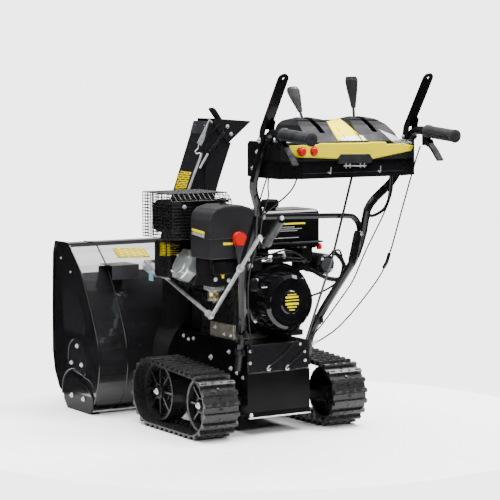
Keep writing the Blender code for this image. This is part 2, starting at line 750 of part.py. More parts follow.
def muffler_guard():
    outer = slab([(55, 600), (258, 600), (258, 748), (88, 748), (55, 722)], "X", -258, -40)
    inner = slab([(58, 580), (255, 580), (255, 745), (89, 745), (58, 720.5)], "X", -255, -43)
    windows = []
    for k in range(4):
        y = 68 + k * 47
        windows.append(box((-300, y, 618), (-200, y + 36, 716)))
    for k in range(3):
        x = -246 + k * 68
        windows.append(box((x, 100, 700), (x + 58, 244, 800)))
    finish(cut(outer, inner, *windows), "muffler_guard", ZINC)


def starter_motor():
    profile = [(0, -80), (26, -80), (32, -72), (32, 34), (26, 42), (0, 42)]
    barrel = turned(profile, (0, 1, 0), (232, 0, 512), 20)
    arm = box((150.4, -34, 492), (210, 4, 524))
    finish(joined(barrel, arm), "starter_motor", BLACK_PLASTIC)


def belt_cover():
    outer = box((-62, 200, FRAME_TOP + GAP), (140, DRUM_REAR - 3, 474), 3, 1)
    room = box((-58, 204, FRAME_TOP - 30), (136, DRUM_REAR - 7, 470))
    shaft_hole = rod((CRANK_AXIS[0], 190, CRANK_AXIS[1]), (CRANK_AXIS[0], 210, CRANK_AXIS[1]), 30, 20)
    finish(cut(outer, room, shaft_hole), "belt_cover", SATIN_BLACK)


# ---------------------------------------------------------------- handlebars and dash
HANDLE_PATH = [(-127.5, -122, 204), (-127, -142, 290), (-139, -169, 350), (-154, -195, 400),
               (-188, -252, 500), (-203, -290, 560), (-202, -332, 640), (-196, -360, 705),
               (-212, -380, 742), (-236, -404, 775), (-252, -430, 812), (-254, -472, 888), (-253, -505, 936),
               (-253, -545, 952), (-252.5, -590, 950)]


def handle():
    tube = pipe(smooth_path(HANDLE_PATH, 2), HANDLE_RADIUS, 2)
    lug = slab([(-572, 944), (-588, 944), (-588, 931), (-604, 931), (-604, 908), (-572, 908)],
               "X", -258, -248)
    pin = rod((-262, *TRIGGER_PIVOT), (-244, *TRIGGER_PIVOT), 3.4, 10)
    bolt_y, bolt_z = LEVER_PIVOT
    bolt = rod((-GRIP_X - 22, bolt_y, bolt_z), (-GRIP_X + 22, bolt_y, bolt_z), 4.5, 12)
    return joined(tube, lug, pin, bolt)


def handle_crossbar():
    path = [(-183.2, -361, 699), (0, -362, 694), (120, -362, 690), (146, -362, 683), (163, -361, 664),
            (171, -357, 636), (176, -346, 610), (184, -330, 594)]
    finish(pipe(smooth_path(path, 2), 9, 1), "handle_crossbar", SATIN_BLACK)


def dash_tray():
    plan = [(-238, -392), (238, -392), (238, -548), (176, -578), (-176, -578), (-238, -548)]
    plan_inside = [(-235, -395), (235, -395), (235, -546), (175, -575), (-175, -575), (-235, -546)]
    tray = slab(plan, "Z", 820, 870)
    room = slab(plan_inside, "Z", 823.5, 880)
    rod_hole = box((SHIFT_X - 12, -470, 810), (SHIFT_X + 12, -410, 830))
    plates = []
    for side in (-1, 1):
        ear = slab([(-374, 822), (-374, 918), (-384, 927), (-452, 927), (-452, 822)], "X", 236.5, 240)
        plates.append(ear if side > 0 else mirrored(ear))
    finish(joined(cut(tray, room, rod_hole), *plates), "dash_tray", BLACK_PLASTIC)


BUTTON_X = (-184.0, -145.0)
HUMP_HALF_WIDTH = 66.0
COVER_WALL = 3.0


def arch(trim, drop):
    """Side outline of the cover's raised part, made smaller and lower for the inside and bridge."""
    return [(-398 - trim, 900), (-392 - trim, 962 - drop), (-402 - trim * 0.7, 984 - drop),
            (-440, 995 - drop), (-484, 989 - drop), (-524, 970 - drop), (-560 + trim * 0.5, 946 - drop),
            (-584 + trim, 922 - drop * 0.4), (-584 + trim, 900)]


def hump(x, trim):
    """Raised dome round one lever, rounded across the machine as well as along it."""
    half = HUMP_HALF_WIDTH - trim
    top = 995 - trim
    across = [(x - half, 890), (x - half, top - 46), (x - half * 0.9, top - 22), (x - half * 0.68, top - 8),
              (x - half * 0.3, top), (x + half * 0.3, top), (x + half * 0.68, top - 8),
              (x + half * 0.9, top - 22), (x + half, top - 46), (x + half, 890)]
    along_machine = slab(arch(trim, trim), "X", x - 90, x + 90)
    return combined(slab(across, "Y", -600, -380), [along_machine], "INTERSECT")


def dash_cover():
    plan = [(-235, -396), (235, -396), (235, -552), (180, -586), (-180, -586), (-235, -552)]
    body = slab(plan, "Z", 870.4, 925)
    plan_inside = [(-232, -399), (232, -399), (232, -550), (179, -583), (-179, -583), (-232, -550)]
    hollow = slab(plan_inside, "Z", 865, 922)
    for x in (-SHIFT_X, SHIFT_X):
        body = joined(body, hump(x, 0))
        hollow = joined(hollow, hump(x, COVER_WALL))
    body = joined(body, slab(arch(0, 9), "X", -34, 34))
    hollow = joined(hollow, slab(arch(COVER_WALL, 9 + COVER_WALL), "X", -40, 40))
    pivot_y, pivot_z = SHIFT_PIVOT
    wedge = [(pivot_y + 16, pivot_z - 12), (-424, 1010), (-576, 1010), (pivot_y - 18, pivot_z - 12)]
    slots = [slab(wedge, "X", x - 9, x + 9) for x in (-SHIFT_X, SHIFT_X)]
    bores = [rod((x, -600, 900), (x, -574, 900), 11, 18) for x in BUTTON_X]
    finish(cut(body, hollow, *slots, *bores), "dash_cover", GREY_PLASTIC)


def push_buttons():
    for name, x in zip(("light_button", "heater_button"), BUTTON_X):
        profile = [(0, -593), (8.5, -593), (10.4, -591), (10.4, -580), (0, -580)]
        body = turned(profile, (0, 1, 0), (x, 0, 900), 18)
        finish(body, name, RED_PLASTIC, (x, -586, 900))


def shift_lever(x, rod_end, knob_start, knob_end, name):
    """Steel rod on a cross pin, with a paddle-shaped knob."""
    pivot = Vector((x, *SHIFT_PIVOT))
    run = Vector(knob_end) - Vector(knob_start)
    stem = pipe([pivot, Vector(rod_end), Vector(knob_start) + run * 0.2], 4.5, 1)
    hub = rod((x - 8, *SHIFT_PIVOT), (x + 8, *SHIFT_PIVOT), 8, 12)
    length = run.length
    profile = [(0, 0), (7, 0), (10, length * 0.2), (17, length * 0.62), (19.5, length * 0.88),
               (16.5, length), (0, length)]
    knob = turned(profile, (0, 0, 1), (0, 0, 0), 12)
    flatten = Matrix.Diagonal((1.12, 0.62, 1.0, 1.0))
    knob = moved(knob, along(knob_start, knob_end) @ flatten)
    finish(joined(stem, hub, knob), name, GREY_PLASTIC, pivot)


def shift_levers():
    shift_lever(-SHIFT_X, (-92, -441, 993), (-92, -431, 1011), (-92, -387, 1080), "shift_lever_left")
    shift_lever(SHIFT_X, (92, -441, 993), (92, -439, 1020), (92, -426, 1112), "shift_lever_right")


def paddle():
    """Strap lever on two ears that straddle the handle tube."""
    y, z = LEVER_PIVOT
    rise = math.radians(56)
    half = 17.5
    length = 216.0
    angles = [math.pi * k / 6 for k in range(7)]
    tip = [(half * math.cos(a), length - half + half * math.sin(a)) for a in angles]
    outline = [(half, 24)] + tip + [(-half, 24)]
    strap = slab(outline, "Z", -2, 2)
    hole = rod((0, length - 16, -10), (0, length - 16, 10), 4.2, 12)
    strap = cut(strap, hole)
    forward = Vector((0, -math.cos(rise), math.sin(rise)))
    outward = Vector((0, math.sin(rise), math.cos(rise)))
    frame = Matrix((Vector((1, 0, 0)), forward, outward)).transposed().to_4x4()
    lift = Vector((-GRIP_X, y, z)) + outward * 20
    strap = moved(strap, Matrix.Translation(lift) @ frame)
    ears = []
    for side in (-1, 1):
        shape = [(10, -10), (60, 8), (60, 22), (20, 22), (-10, 10), (-10, -10)]
        points = []
        for s, h in shape:
            place = forward * s + outward * h
            points.append((y + place.y, z + place.z))
        x = -GRIP_X + side * 15.2
        ears.append(slab(points, "X", x - 1.5, x + 1.5))
    bore = rod((-GRIP_X - 40, y, z), (-GRIP_X + 40, y, z), 5.0, 12)
    return cut(joined(strap, *ears), bore)


def grip():
    path = [(-252.5, -590.4, 950), (-251, -640, 946.5), (-250, -690, 942.8), (-248.5, -738, 939)]
    return pipe(path, 17.5, 3)


def trigger():
    y, z = TRIGGER_PIVOT
    ears = []
    for x in (-262, -244):
        shape = [(y + 7, z + 5), (y - 7, z + 7), (y - 16, z - 8), (y - 10, z - 16), (y + 5, z - 6)]
        ears.append(slab(shape, "X", x - 2, x + 2))
    outline = [(y - 8, z - 9), (y - 13, z - 5), (y - 36, z - 24), (y - 62, z - 52), (y - 58, z - 56),
               (y - 32, z - 30)]
    blade = slab(outline, "X", -264, -242)
    bore = rod((-280, y, z), (-230, y, z), 3.8, 10)
    return cut(joined(blade, *ears), bore)


def headlamp():
    case = box((-55, -391.6, 872), (55, -352, 918), 8, 2)
    finish(case, "headlamp", BLACK_PLASTIC)


# ---------------------------------------------------------------- rods and cables
def shift_rod():
    path = [(92, -176, 292), (92, -324, 560), (92, -436, 826)]
    finish(pipe(path, 4, 1), "shift_rod", ZINC, (92, -324, 560))


def cables():
    clutch = [(-232, -468, 818), (-226, -430, 770), (-222, -400, 712), (-186, -330, 610), (-168, -262, 520),
              (-136, -200, 420), (-112, -170, 330), (-100, -164, 262)]
    finish(pipe(smooth_path(clutch, 3), 2.6, 1), "clutch_cable", BLACK_PLASTIC)
    steering = [(232, -585, 905), (250, -530, 846), (262, -450, 707), (242, -400, 546), (228, -330, 453),
                (183, -230, 334), (130, -175, 278)]
    finish(pipe(smooth_path(steering, 3), 2.6, 1), "steering_cable", BLACK_PLASTIC)


housing_shell()
both_sides(side_plate, "side_plate", BLACK_PAINT, (-HOUSING_HALF_WIDTH, *AUGER_AXIS))
both_sides(skid_shoe, "skid_shoe", BLACK_PAINT, (-HOUSING_HALF_WIDTH, 540, 0))
scraper_bar()
impeller_housing()
auger_gearbox()
both_sides(auger, "auger", BLACK_PAINT, (-200, *AUGER_AXIS))
impeller()
chute()
deflector()
worm_bracket()
worm_rod()
crank_rod()
crank_grip()
crank_eye()
tractor_frame()
both_sides(track, "track", RUBBER, (-235, 0, 0))
wheels()
both_sides(track_frame, "track_frame", SATIN_BLACK, (-190, 0, 110))
engine_block()
rocker_cover()
fan_shroud()
recoil_starter()
recoil_grip()
fuel_tank()
fuel_cap()
carb_cover()
carburetor()
choke_lever()
muffler()
muffler_guard()
starter_motor()
belt_cover()
both_sides(handle, "handle", SATIN_BLACK, (-GRIP_X, *LEVER_PIVOT))
handle_crossbar()
dash_tray()
dash_cover()
push_buttons()
shift_levers()
both_sides(paddle, "paddle_lever", SATIN_BLACK, (-GRIP_X, *LEVER_PIVOT))
both_sides(grip, "grip", RUBBER, (-250, -665, 945))
both_sides(trigger, "trigger", GREY_PLASTIC, (-GRIP_X, *TRIGGER_PIVOT))
headlamp()
shift_rod()
cables()
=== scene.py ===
"""Looks of the two stage snowblower on tracks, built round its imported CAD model.

Lengths are in millimetres in the shared frame and are scaled once, by MM. The front of the machine is +Y.
"""

import math

import bmesh
import bpy
from mathutils import Matrix, Vector
from mathutils.bvhtree import BVHTree


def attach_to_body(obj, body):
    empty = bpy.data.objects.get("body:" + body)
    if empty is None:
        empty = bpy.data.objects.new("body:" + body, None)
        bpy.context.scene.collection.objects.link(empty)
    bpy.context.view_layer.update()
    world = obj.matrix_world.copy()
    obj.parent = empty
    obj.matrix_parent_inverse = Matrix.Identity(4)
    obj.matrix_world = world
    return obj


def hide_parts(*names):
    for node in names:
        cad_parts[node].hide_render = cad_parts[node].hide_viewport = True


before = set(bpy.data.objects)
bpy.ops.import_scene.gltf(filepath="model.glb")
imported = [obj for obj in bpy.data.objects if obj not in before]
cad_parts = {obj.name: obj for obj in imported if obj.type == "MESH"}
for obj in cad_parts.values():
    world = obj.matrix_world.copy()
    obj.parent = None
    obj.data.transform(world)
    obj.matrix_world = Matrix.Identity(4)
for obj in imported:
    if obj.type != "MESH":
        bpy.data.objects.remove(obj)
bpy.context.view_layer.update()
MM = 0.001
UP = Vector((0, 0, 1))
LEFTWARD = (-1, 0, 0)
REARWARD = (0, -1, 0)
SIDES = (("left", -1), ("right", 1))

# ---------------------------------------------------------------- camera
VIEW_TURN = math.radians(30.99)
VIEW_DROP = math.radians(5.16)
VIEW_ROLL = math.radians(-0.24)
VIEW_TARGET = Vector((-21.94, -23.46, 566.59))
VIEW_DISTANCE = 6274.4
LENS = 142.81

ahead = Vector((math.sin(VIEW_TURN) * math.cos(VIEW_DROP), math.cos(VIEW_TURN) * math.cos(VIEW_DROP),
        -math.sin(VIEW_DROP)))
right = Vector((math.cos(VIEW_TURN), -math.sin(VIEW_TURN), 0))
over = right.cross(ahead)
right, over = (right * math.cos(VIEW_ROLL) + over * math.sin(VIEW_ROLL),
    over * math.cos(VIEW_ROLL) - right * math.sin(VIEW_ROLL))
EYE = VIEW_TARGET - ahead * VIEW_DISTANCE
lens = bpy.data.cameras.new("camera")
lens.lens = LENS
lens.sensor_width = 36
lens.clip_end = 100
camera = bpy.data.objects.new("camera", lens)
axes = Matrix((right, over, -ahead)).transposed().to_4x4()
camera.matrix_world = Matrix.Translation(EYE * MM) @ axes
bpy.context.scene.collection.objects.link(camera)
bpy.context.scene.camera = camera


# ---------------------------------------------------------------- materials
def principled(name):
    made = bpy.data.materials.new(name)
    made.use_nodes = True
    return made, made.node_tree, made.node_tree.nodes["Principled BSDF"]


def fill(node, values):
    """Set unlinked sockets of a node by name."""
    for socket, value in values.items():
        node.inputs[socket].default_value = value


def noise(tree, scale, detail=3.0, rough=0.5):
    """Noise in object space, as a node."""
    place = tree.nodes.new("ShaderNodeTexCoord")
    field = tree.nodes.new("ShaderNodeTexNoise")
    fill(field, {"Scale": scale, "Detail": detail, "Roughness": rough})
    tree.links.new(place.outputs["Object"], field.inputs["Vector"])
    return field


def spread(tree, source, low, high, start=0.35, end=0.65):
    """Map a 0 to 1 field onto a range of values."""
    mapping = tree.nodes.new("ShaderNodeMapRange")
    fill(mapping, {"From Min": start, "From Max": end, "To Min": low, "To Max": high})
    tree.links.new(source, mapping.inputs["Value"])
    return mapping.outputs["Result"]


def blended(tree, factor, first, second):
    """Colour that runs from first to second with a field."""
    mixer = tree.nodes.new("ShaderNodeMix")
    mixer.data_type = "RGBA"
    tree.links.new(factor, mixer.inputs["Factor"])
    for socket, value in ((mixer.inputs["A"], first), (mixer.inputs["B"], second)):
        if isinstance(value, tuple):
            socket.default_value = (*value, 1)
        else:
            tree.links.new(value, socket)
    return mixer.outputs["Result"]


def edge_wear(tree):
    """1 on sharp outer edges and 0 elsewhere."""
    shape = tree.nodes.new("ShaderNodeNewGeometry")
    return spread(tree, shape.outputs["Pointiness"], 0.0, 1.0, 0.52, 0.60)


def add_grain(tree, shader, scale, strength, depth):
    """Fine relief over the whole surface, depth in metres."""
    fine = noise(tree, scale, 2.0)
    relief = tree.nodes.new("ShaderNodeBump")
    fill(relief, {"Strength": strength, "Distance": depth})
    tree.links.new(fine.outputs["Fac"], relief.inputs["Height"])
    tree.links.new(relief.outputs["Normal"], shader.inputs["Normal"])


def surface(name, dark, light, roughness, metallic=0.0, coat=0.0, patch=12.0, grain=600.0, bump=0.05,
            worn=None, gloss=0.5):
    """Procedural finish: blotches of tone, uneven gloss, fine grain and, if asked, worn edges."""
    made, tree, shader = principled(name)
    tone = noise(tree, patch, 4.0)
    colour = blended(tree, spread(tree, tone.outputs["Fac"], 0.0, 1.0), dark, light)
    if worn:
        colour = blended(tree, edge_wear(tree), colour, worn)
    tree.links.new(colour, shader.inputs["Base Color"])
    smear = noise(tree, patch * 2.7, 5.0, 0.6)
    tree.links.new(spread(tree, smear.outputs["Fac"], roughness * 0.8, roughness * 1.25),
        shader.inputs["Roughness"])
    fill(shader, {"Metallic": metallic, "Specular IOR Level": gloss, "Coat Weight": coat,
            "Coat Roughness": 0.06})
    add_grain(tree, shader, grain, bump, 0.0004)
    return made


def two_tone(name, below, above, height, softness, roughness):
    """Moulded plastic that changes colour at a height."""
    made, tree, shader = principled(name)
    place = tree.nodes.new("ShaderNodeTexCoord")
    split = tree.nodes.new("ShaderNodeSeparateXYZ")
    tree.links.new(place.outputs["Object"], split.inputs["Vector"])
    level = spread(tree, split.outputs["Z"], 0.0, 1.0, (height - softness) * MM, (height + softness) * MM)
    tone = noise(tree, 40.0)
    shade = blended(tree, spread(tree, tone.outputs["Fac"], 0.0, 1.0), below, tuple(c * 1.3 for c in below))
    tree.links.new(blended(tree, level, shade, above), shader.inputs["Base Color"])
    tree.links.new(spread(tree, tone.outputs["Fac"], roughness * 0.85, roughness * 1.2),
        shader.inputs["Roughness"])
    shader.inputs["Specular IOR Level"].default_value = 0.25
    add_grain(tree, shader, 900.0, 0.05, 0.0003)
    return made


def striped_label(name, base, mark, gap, scale):
    """Plain label with rows of bars that stand for lettering."""
    made, tree, shader = principled(name)
    place = tree.nodes.new("ShaderNodeTexCoord")
    bars = tree.nodes.new("ShaderNodeTexBrick")
    fill(bars, {"Scale": scale, "Mortar Size": gap, "Mortar Smooth": 0.0, "Color1": (*mark, 1),
            "Color2": (*mark, 1), "Mortar": (*base, 1), "Brick Width": 0.9, "Row Height": 0.3})
    tree.links.new(place.outputs["UV"], bars.inputs["Vector"])
    tree.links.new(bars.outputs["Color"], shader.inputs["Base Color"])
    shader.inputs["Specular IOR Level"].default_value = 0.08
    wear = noise(tree, 30.0)
    tree.links.new(spread(tree, wear.outputs["Fac"], 0.25, 0.4), shader.inputs["Roughness"])
    return made


GLOSS_BLACK = surface("gloss_black", (0.003, 0.003, 0.0035), (0.006, 0.006, 0.0065), 0.10, coat=0.25, patch=5,
    grain=160, bump=0.012, worn=(0.012, 0.012, 0.013), gloss=0.4)
FRAME_BLACK = surface("frame_black", (0.004, 0.004, 0.0045), (0.008, 0.008, 0.009), 0.12, patch=9, grain=220,
    bump=0.03, worn=(0.012, 0.012, 0.013), gloss=0.2)
BLACK_PLASTIC = surface("black_plastic", (0.004, 0.004, 0.0045), (0.008, 0.008, 0.009), 0.32, patch=14,
    bump=0.08, gloss=0.18)
SHINY_PLASTIC = surface("shiny_plastic", (0.002, 0.002, 0.0025), (0.005, 0.005, 0.0055), 0.12, coat=0.2,
    patch=8, grain=300, bump=0.02, gloss=0.3)
GREY_PLASTIC = surface("grey_plastic", (0.012, 0.012, 0.013), (0.018, 0.018, 0.020), 0.46, patch=10,
    bump=0.06, gloss=0.10)
COVER_PLASTIC = surface("cover_plastic", (0.019, 0.019, 0.021), (0.024, 0.024, 0.026), 0.40, patch=6,
    bump=0.03, gloss=0.22)
TRIGGER_PLASTIC = surface("trigger_plastic", (0.008, 0.008, 0.009), (0.013, 0.013, 0.014), 0.5, patch=20,
    bump=0.05, gloss=0.08)
# Painted shade: a darker, less reflective copy of the frame paint, used on the tractor frame and skid shoes
SHADED_FRAME_BLACK = surface("frame_black_painted_shade", (0.003, 0.003, 0.0032), (0.005, 0.005, 0.0055), 0.16, patch=9, grain=220,
    bump=0.03, gloss=0.05)
WHEEL_BLACK = surface("wheel_black", (0.008, 0.008, 0.009), (0.016, 0.016, 0.017), 0.30, patch=14, bump=0.08,
    gloss=0.35)
KNOB_PLASTIC = surface("knob_plastic", (0.020, 0.020, 0.022), (0.034, 0.034, 0.036), 0.38, patch=30,
    bump=0.06, gloss=0.25)
SLATE_PLASTIC = surface("slate_plastic", (0.022, 0.023, 0.026), (0.038, 0.039, 0.043), 0.4, patch=18,
    bump=0.08, gloss=0.25)
RUBBER = surface("rubber", (0.0025, 0.0024, 0.0023), (0.007, 0.0068, 0.0065), 0.27, patch=22, grain=420,
    bump=0.15, worn=(0.014, 0.0135, 0.013), gloss=0.3)
GRIP_RUBBER = surface("grip_rubber", (0.026, 0.027, 0.029), (0.042, 0.043, 0.046), 0.5, patch=26, grain=520,
    bump=0.2, gloss=0.25)
ZINC = surface("zinc", (0.55, 0.57, 0.58), (0.78, 0.80, 0.80), 0.22, metallic=0.6, patch=45, grain=300,
    bump=0.05)
WIRE = surface("wire", (0.02, 0.02, 0.022), (0.05, 0.05, 0.052), 0.28, metallic=0.7, patch=60, grain=300,
    bump=0.04)
CHROME = surface("bright_steel", (0.66, 0.68, 0.70), (0.86, 0.87, 0.88), 0.14, metallic=0.6, patch=60,
    grain=400, bump=0.02)
DARK_CASTING = surface("dark_casting", (0.004, 0.004, 0.004), (0.009, 0.009, 0.009), 0.3, gloss=0.3, patch=30,
    grain=240, bump=0.3)
TAN_CASTING = surface("tan_casting", (0.30, 0.27, 0.22), (0.46, 0.42, 0.35), 0.42, metallic=0.8, patch=40,
    grain=240, bump=0.3)
COVER_SILVER = surface("cover_silver", (0.50, 0.54, 0.54), (0.75, 0.78, 0.78), 0.2, metallic=0.6, patch=16,
    grain=300, bump=0.06)
BRASS = surface("brass", (0.45, 0.36, 0.16), (0.62, 0.52, 0.26), 0.3, metallic=1.0, patch=60)
SOOT = surface("soot", (0.004, 0.004, 0.004), (0.010, 0.0095, 0.009), 0.45, patch=18, grain=260, bump=0.3,
    gloss=0.2)
YELLOW = surface("yellow_panel", (0.92, 0.76, 0.0), (0.98, 0.82, 0.0), 0.4, patch=9, grain=700, bump=0.03,
    gloss=0.06)
WHITE = surface("white_panel", (0.72, 0.72, 0.72), (0.82, 0.82, 0.82), 0.3, patch=9, bump=0.03)
RED = surface("red_plastic", (0.50, 0.006, 0.006), (0.66, 0.015, 0.012), 0.3, patch=60, bump=0.03, gloss=0.3)
BLUE_LABEL = surface("blue_label", (0.16, 0.36, 0.44), (0.24, 0.46, 0.54), 0.4, patch=120, bump=0.02)
PALE = surface("pale_plastic", (0.30, 0.30, 0.31), (0.42, 0.42, 0.43), 0.3, patch=20, bump=0.03, gloss=0.3)
SEAM = surface("cover_seam", (0.010, 0.010, 0.011), (0.018, 0.018, 0.019), 0.4, patch=20, bump=0.03)
LABEL = striped_label("label", (0.60, 0.46, 0.0), (0.006, 0.006, 0.006), 0.085, 2.4)
CHOKE = two_tone("choke", (0.035, 0.035, 0.037), (0.62, 0.008, 0.006), 590, 0.4, 0.35)

FINISH = {
    GLOSS_BLACK: ("auger_housing side_plate_left side_plate_right impeller_housing "
                  "auger_left auger_right impeller chute deflector"),
    FRAME_BLACK: ("track_frame_left track_frame_right belt_cover handle_left handle_right handle_crossbar "
                  "paddle_lever_left paddle_lever_right"),
    # the tractor frame and skid shoes take the painted-shade copy of the frame paint
    SHADED_FRAME_BLACK: "tractor_frame skid_shoe_left skid_shoe_right",
    WHEEL_BLACK: "wheel_front_left wheel_front_right wheel_rear_left wheel_rear_right",
    BLACK_PLASTIC: ("crank_grip starter_motor dash_tray headlamp "
                    "clutch_cable steering_cable fuel_cap recoil_grip"),
    SHINY_PLASTIC: "fan_shroud recoil_starter fuel_tank",
    GREY_PLASTIC: "dash_cover",
    COVER_PLASTIC: "carb_cover",
    KNOB_PLASTIC: "shift_lever_left shift_lever_right",
    TRIGGER_PLASTIC: "trigger_left trigger_right",
    RUBBER: "track_left track_right",
    GRIP_RUBBER: "grip_left grip_right",
    ZINC: "scraper_bar worm_bracket worm_rod crank_rod crank_eye carburetor",
    WIRE: "muffler_guard shift_rod",
    DARK_CASTING: "engine_block auger_gearbox",
    COVER_SILVER: "rocker_cover",
    SOOT: "muffler",
    RED: "light_button heater_button",
    CHOKE: "choke_lever",
}
for finish, names in FINISH.items():
    for node in names.split():
        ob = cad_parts[node]
        ob.data.materials.clear()
        ob.data.materials.append(finish)

# ---------------------------------------------------------------- softened edges on the carried-over pieces
SOFT_EDGES = {
    0.5: "worm_bracket",
    0.6: "auger_housing scraper_bar",
    0.8: ("impeller_housing skid_shoe_left skid_shoe_right paddle_lever_left paddle_lever_right "
          "trigger_left trigger_right rocker_cover"),
    1.0: ("side_plate_left side_plate_right deflector carb_cover fuel_tank headlamp track_frame_left "
          "track_frame_right fuel_cap"),
    1.2: "chute engine_block auger_gearbox",
    1.5: "belt_cover starter_motor fan_shroud choke_lever",
    1.6: "tractor_frame",
    2.0: "dash_tray dash_cover recoil_starter",
}


# ---------------------------------------------------------------- helpers for new pieces
SHARP_ANGLE = math.radians(35)
SLOT_OF = {
    CHROME: "zinc_plate", WIRE: "zinc_plate", ZINC: "zinc_plate", BRASS: "zinc_plate", BLUE_LABEL: "zinc_plate",
    BLACK_PLASTIC: "black_plastic", SHINY_PLASTIC: "black_plastic", YELLOW: "black_plastic", PALE: "black_plastic",
    KNOB_PLASTIC: "black_plastic", LABEL: "black_plastic", WHITE: "black_plastic", SLATE_PLASTIC: "black_plastic",
    GLOSS_BLACK: "gloss_black_paint", FRAME_BLACK: "satin_black_paint", SOOT: "heatproof_steel",
    COVER_SILVER: "cast_aluminium", TAN_CASTING: "cast_aluminium", DARK_CASTING: "cast_aluminium",
    SEAM: "grey_plastic", RED: "red_plastic", RUBBER: "black_rubber", GRIP_RUBBER: "black_rubber",
}


def attach(made, body, finish, slot):
    """Put a new piece in the scene on its body. The slot, the finish's own unless given and empty for none, is worked
    out but not used.
    """
    bpy.context.scene.collection.objects.link(made)
    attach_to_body(made, body)
    if slot is None:
        slot = SLOT_OF[finish]
    return made


def soften_edges(ob, width):
    """Round the sharp edges of an object by a width in millimetres."""
    soften = ob.modifiers.new("soften", "BEVEL")
    soften.width = width * MM
    soften.segments = 2
    soften.limit_method = "ANGLE"
    return soften


for width, names in SOFT_EDGES.items():
    for node in names.split():
        softened = soften_edges(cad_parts[node], width)
        softened.angle_limit = math.radians(32)
        softened.harden_normals = True


def piece(name, mesh_or_bm, finish, bevel=0.0, slot=None, body="chassis"):
    """Link a finished mesh as a named piece riding on a body. Its coordinates are millimetres."""
    if isinstance(mesh_or_bm, bmesh.types.BMesh):
        mesh = bpy.data.meshes.new(name)
        bmesh.ops.recalc_face_normals(mesh_or_bm, faces=mesh_or_bm.faces)
        mesh_or_bm.to_mesh(mesh)
        mesh_or_bm.free()
    else:
        mesh = mesh_or_bm
    mesh.transform(Matrix.Scale(MM, 4))
    mesh.shade_smooth()
    mesh.set_sharp_from_angle(angle=SHARP_ANGLE)
    mesh.materials.append(finish)
    made = bpy.data.objects.new(name, mesh)
    if bevel:
        soften_edges(made, bevel)
    return attach(made, body, finish, slot)


def frame_along(start, end):
    """Placement with its Z axis from start towards end."""
    direction = (Vector(end) - Vector(start)).normalized()
    return Matrix.Translation(Vector(start)) @ UP.rotation_difference(direction).to_matrix().to_4x4()


def add_lathe(bm, profile, start, end, steps=24):
    """Turn a (radius, distance) profile about the line from start towards end."""
    place = frame_along(start, end)
    rings = []
    for radius, height in profile:
        if radius < 1e-4:
            rings.append([bm.verts.new(place @ Vector((0, 0, height)))])
            continue
        rings.append([bm.verts.new(place @ Vector((radius * math.cos(math.tau * k / steps),
                            radius * math.sin(math.tau * k / steps), height))) for k in range(steps)])
    for near, far in zip(rings[:-1], rings[1:]):
        for k in range(steps):
            loop = [near[k % len(near)], near[(k + 1) % len(near)], far[(k + 1) % len(far)],
                far[k % len(far)]]
            corners = list(dict.fromkeys(loop))
            if len(corners) > 2:
                bm.faces.new(corners)


def add_box(bm, low, high, place=None):
    """A box between two corners."""
    made = bmesh.ops.create_cube(bm, size=1.0)["verts"]
    for vert in made:
        vert.co = Vector([(a + b) / 2 + c * (b - a) for a, b, c in zip(low, high, vert.co)])
        if place is not None:
            vert.co = place @ vert.co
    return made


def add_prism(bm, outline, place, depth):
    """A flat outline pushed along the placement's Z axis."""
    low = [bm.verts.new(place @ Vector((x, y, 0))) for x, y in outline]
    high = [bm.verts.new(place @ Vector((x, y, depth))) for x, y in outline]
    bm.faces.new(low[::-1])
    bm.faces.new(high)
    for k in range(len(outline)):
        n = (k + 1) % len(outline)
        bm.faces.new((low[k], low[n], high[n], high[k]))


BOLT_SCALE = 0.72


def bolts(name, places, finish=CHROME, body="chassis"):
    """Hexagon bolts with washers. Each place is (point on the surface, outward direction, washer size)."""
    bm = bmesh.new()
    for point, direction, washer in places:
        size = washer * BOLT_SCALE
        start = Vector(point)
        end = start + Vector(direction).normalized()
        add_lathe(bm, [(0, -0.4), (size * 0.86, -0.4), (size * 0.86, size * 0.1), (size * 0.8, size * 0.16),
                (0, size * 0.16)], start, end, 20)
        corners = [math.tau * k / 6 for k in range(6)]
        head = [(size * 0.56 * math.cos(a), size * 0.56 * math.sin(a)) for a in corners]
        add_prism(bm, head, frame_along(start, end) @ Matrix.Translation((0, 0, size * 0.12)), size * 0.42)
        stud = [(size * 0.3, size * 0.5), (size * 0.3, size * 0.74), (size * 0.22, size * 0.8),
            (0, size * 0.8)]
        add_lathe(bm, stud, start, end, 12)
    return piece(name, bm, finish, bevel=0.5, body=body)


def boxes(name, corners, finish, **rest):
    """A piece made of boxes, each between two corners."""
    bm = bmesh.new()
    for low, high in corners:
        add_box(bm, low, high)
    return piece(name, bm, finish, **rest)


def turned(name, parts, finish, **rest):
    """A piece made of turned parts, each with its profile, start, end and number of sides."""
    bm = bmesh.new()
    for profile, start, end, sides in parts:
        add_lathe(bm, profile, start, end, sides)
    return piece(name, bm, finish, **rest)


def smooth_path(points, steps=6):
    """Points along a smooth curve through the given ones."""
    knots = [Vector(p) for p in points]
    ends = [2 * knots[0] - knots[1]] + knots + [2 * knots[-1] - knots[-2]]
    path = []
    for i in range(1, len(ends) - 2):
        a, b, c, d = ends[i - 1:i + 3]
        for k in range(steps):
            t = k / steps
            path.append(0.5 * (2 * b + (c - a) * t + (2 * a - 5 * b + 4 * c - d) * t * t + (3 * b - a - 3 * c + d) * t * t * t))
    path.append(knots[-1])
    return path


def tube(name, points, radius, finish, steps=6, resolution=3, slot=None, body="chassis"):
    """A round bar or cable along a smooth line."""
    path = smooth_path(points, steps) if steps else [Vector(p) for p in points]
    curve = bpy.data.curves.new(name, "CURVE")
    curve.dimensions = "3D"
    curve.bevel_depth = radius * MM
    curve.bevel_resolution = resolution
    curve.use_fill_caps = True
    spline = curve.splines.new("POLY")
    spline.points.add(len(path) - 1)
    for knot, point in zip(spline.points, path):
        knot.co = (*(point * MM), 1)
    spline.use_smooth = True
    curve.materials.append(finish)
    return attach(bpy.data.objects.new(name, curve), body, finish, slot)


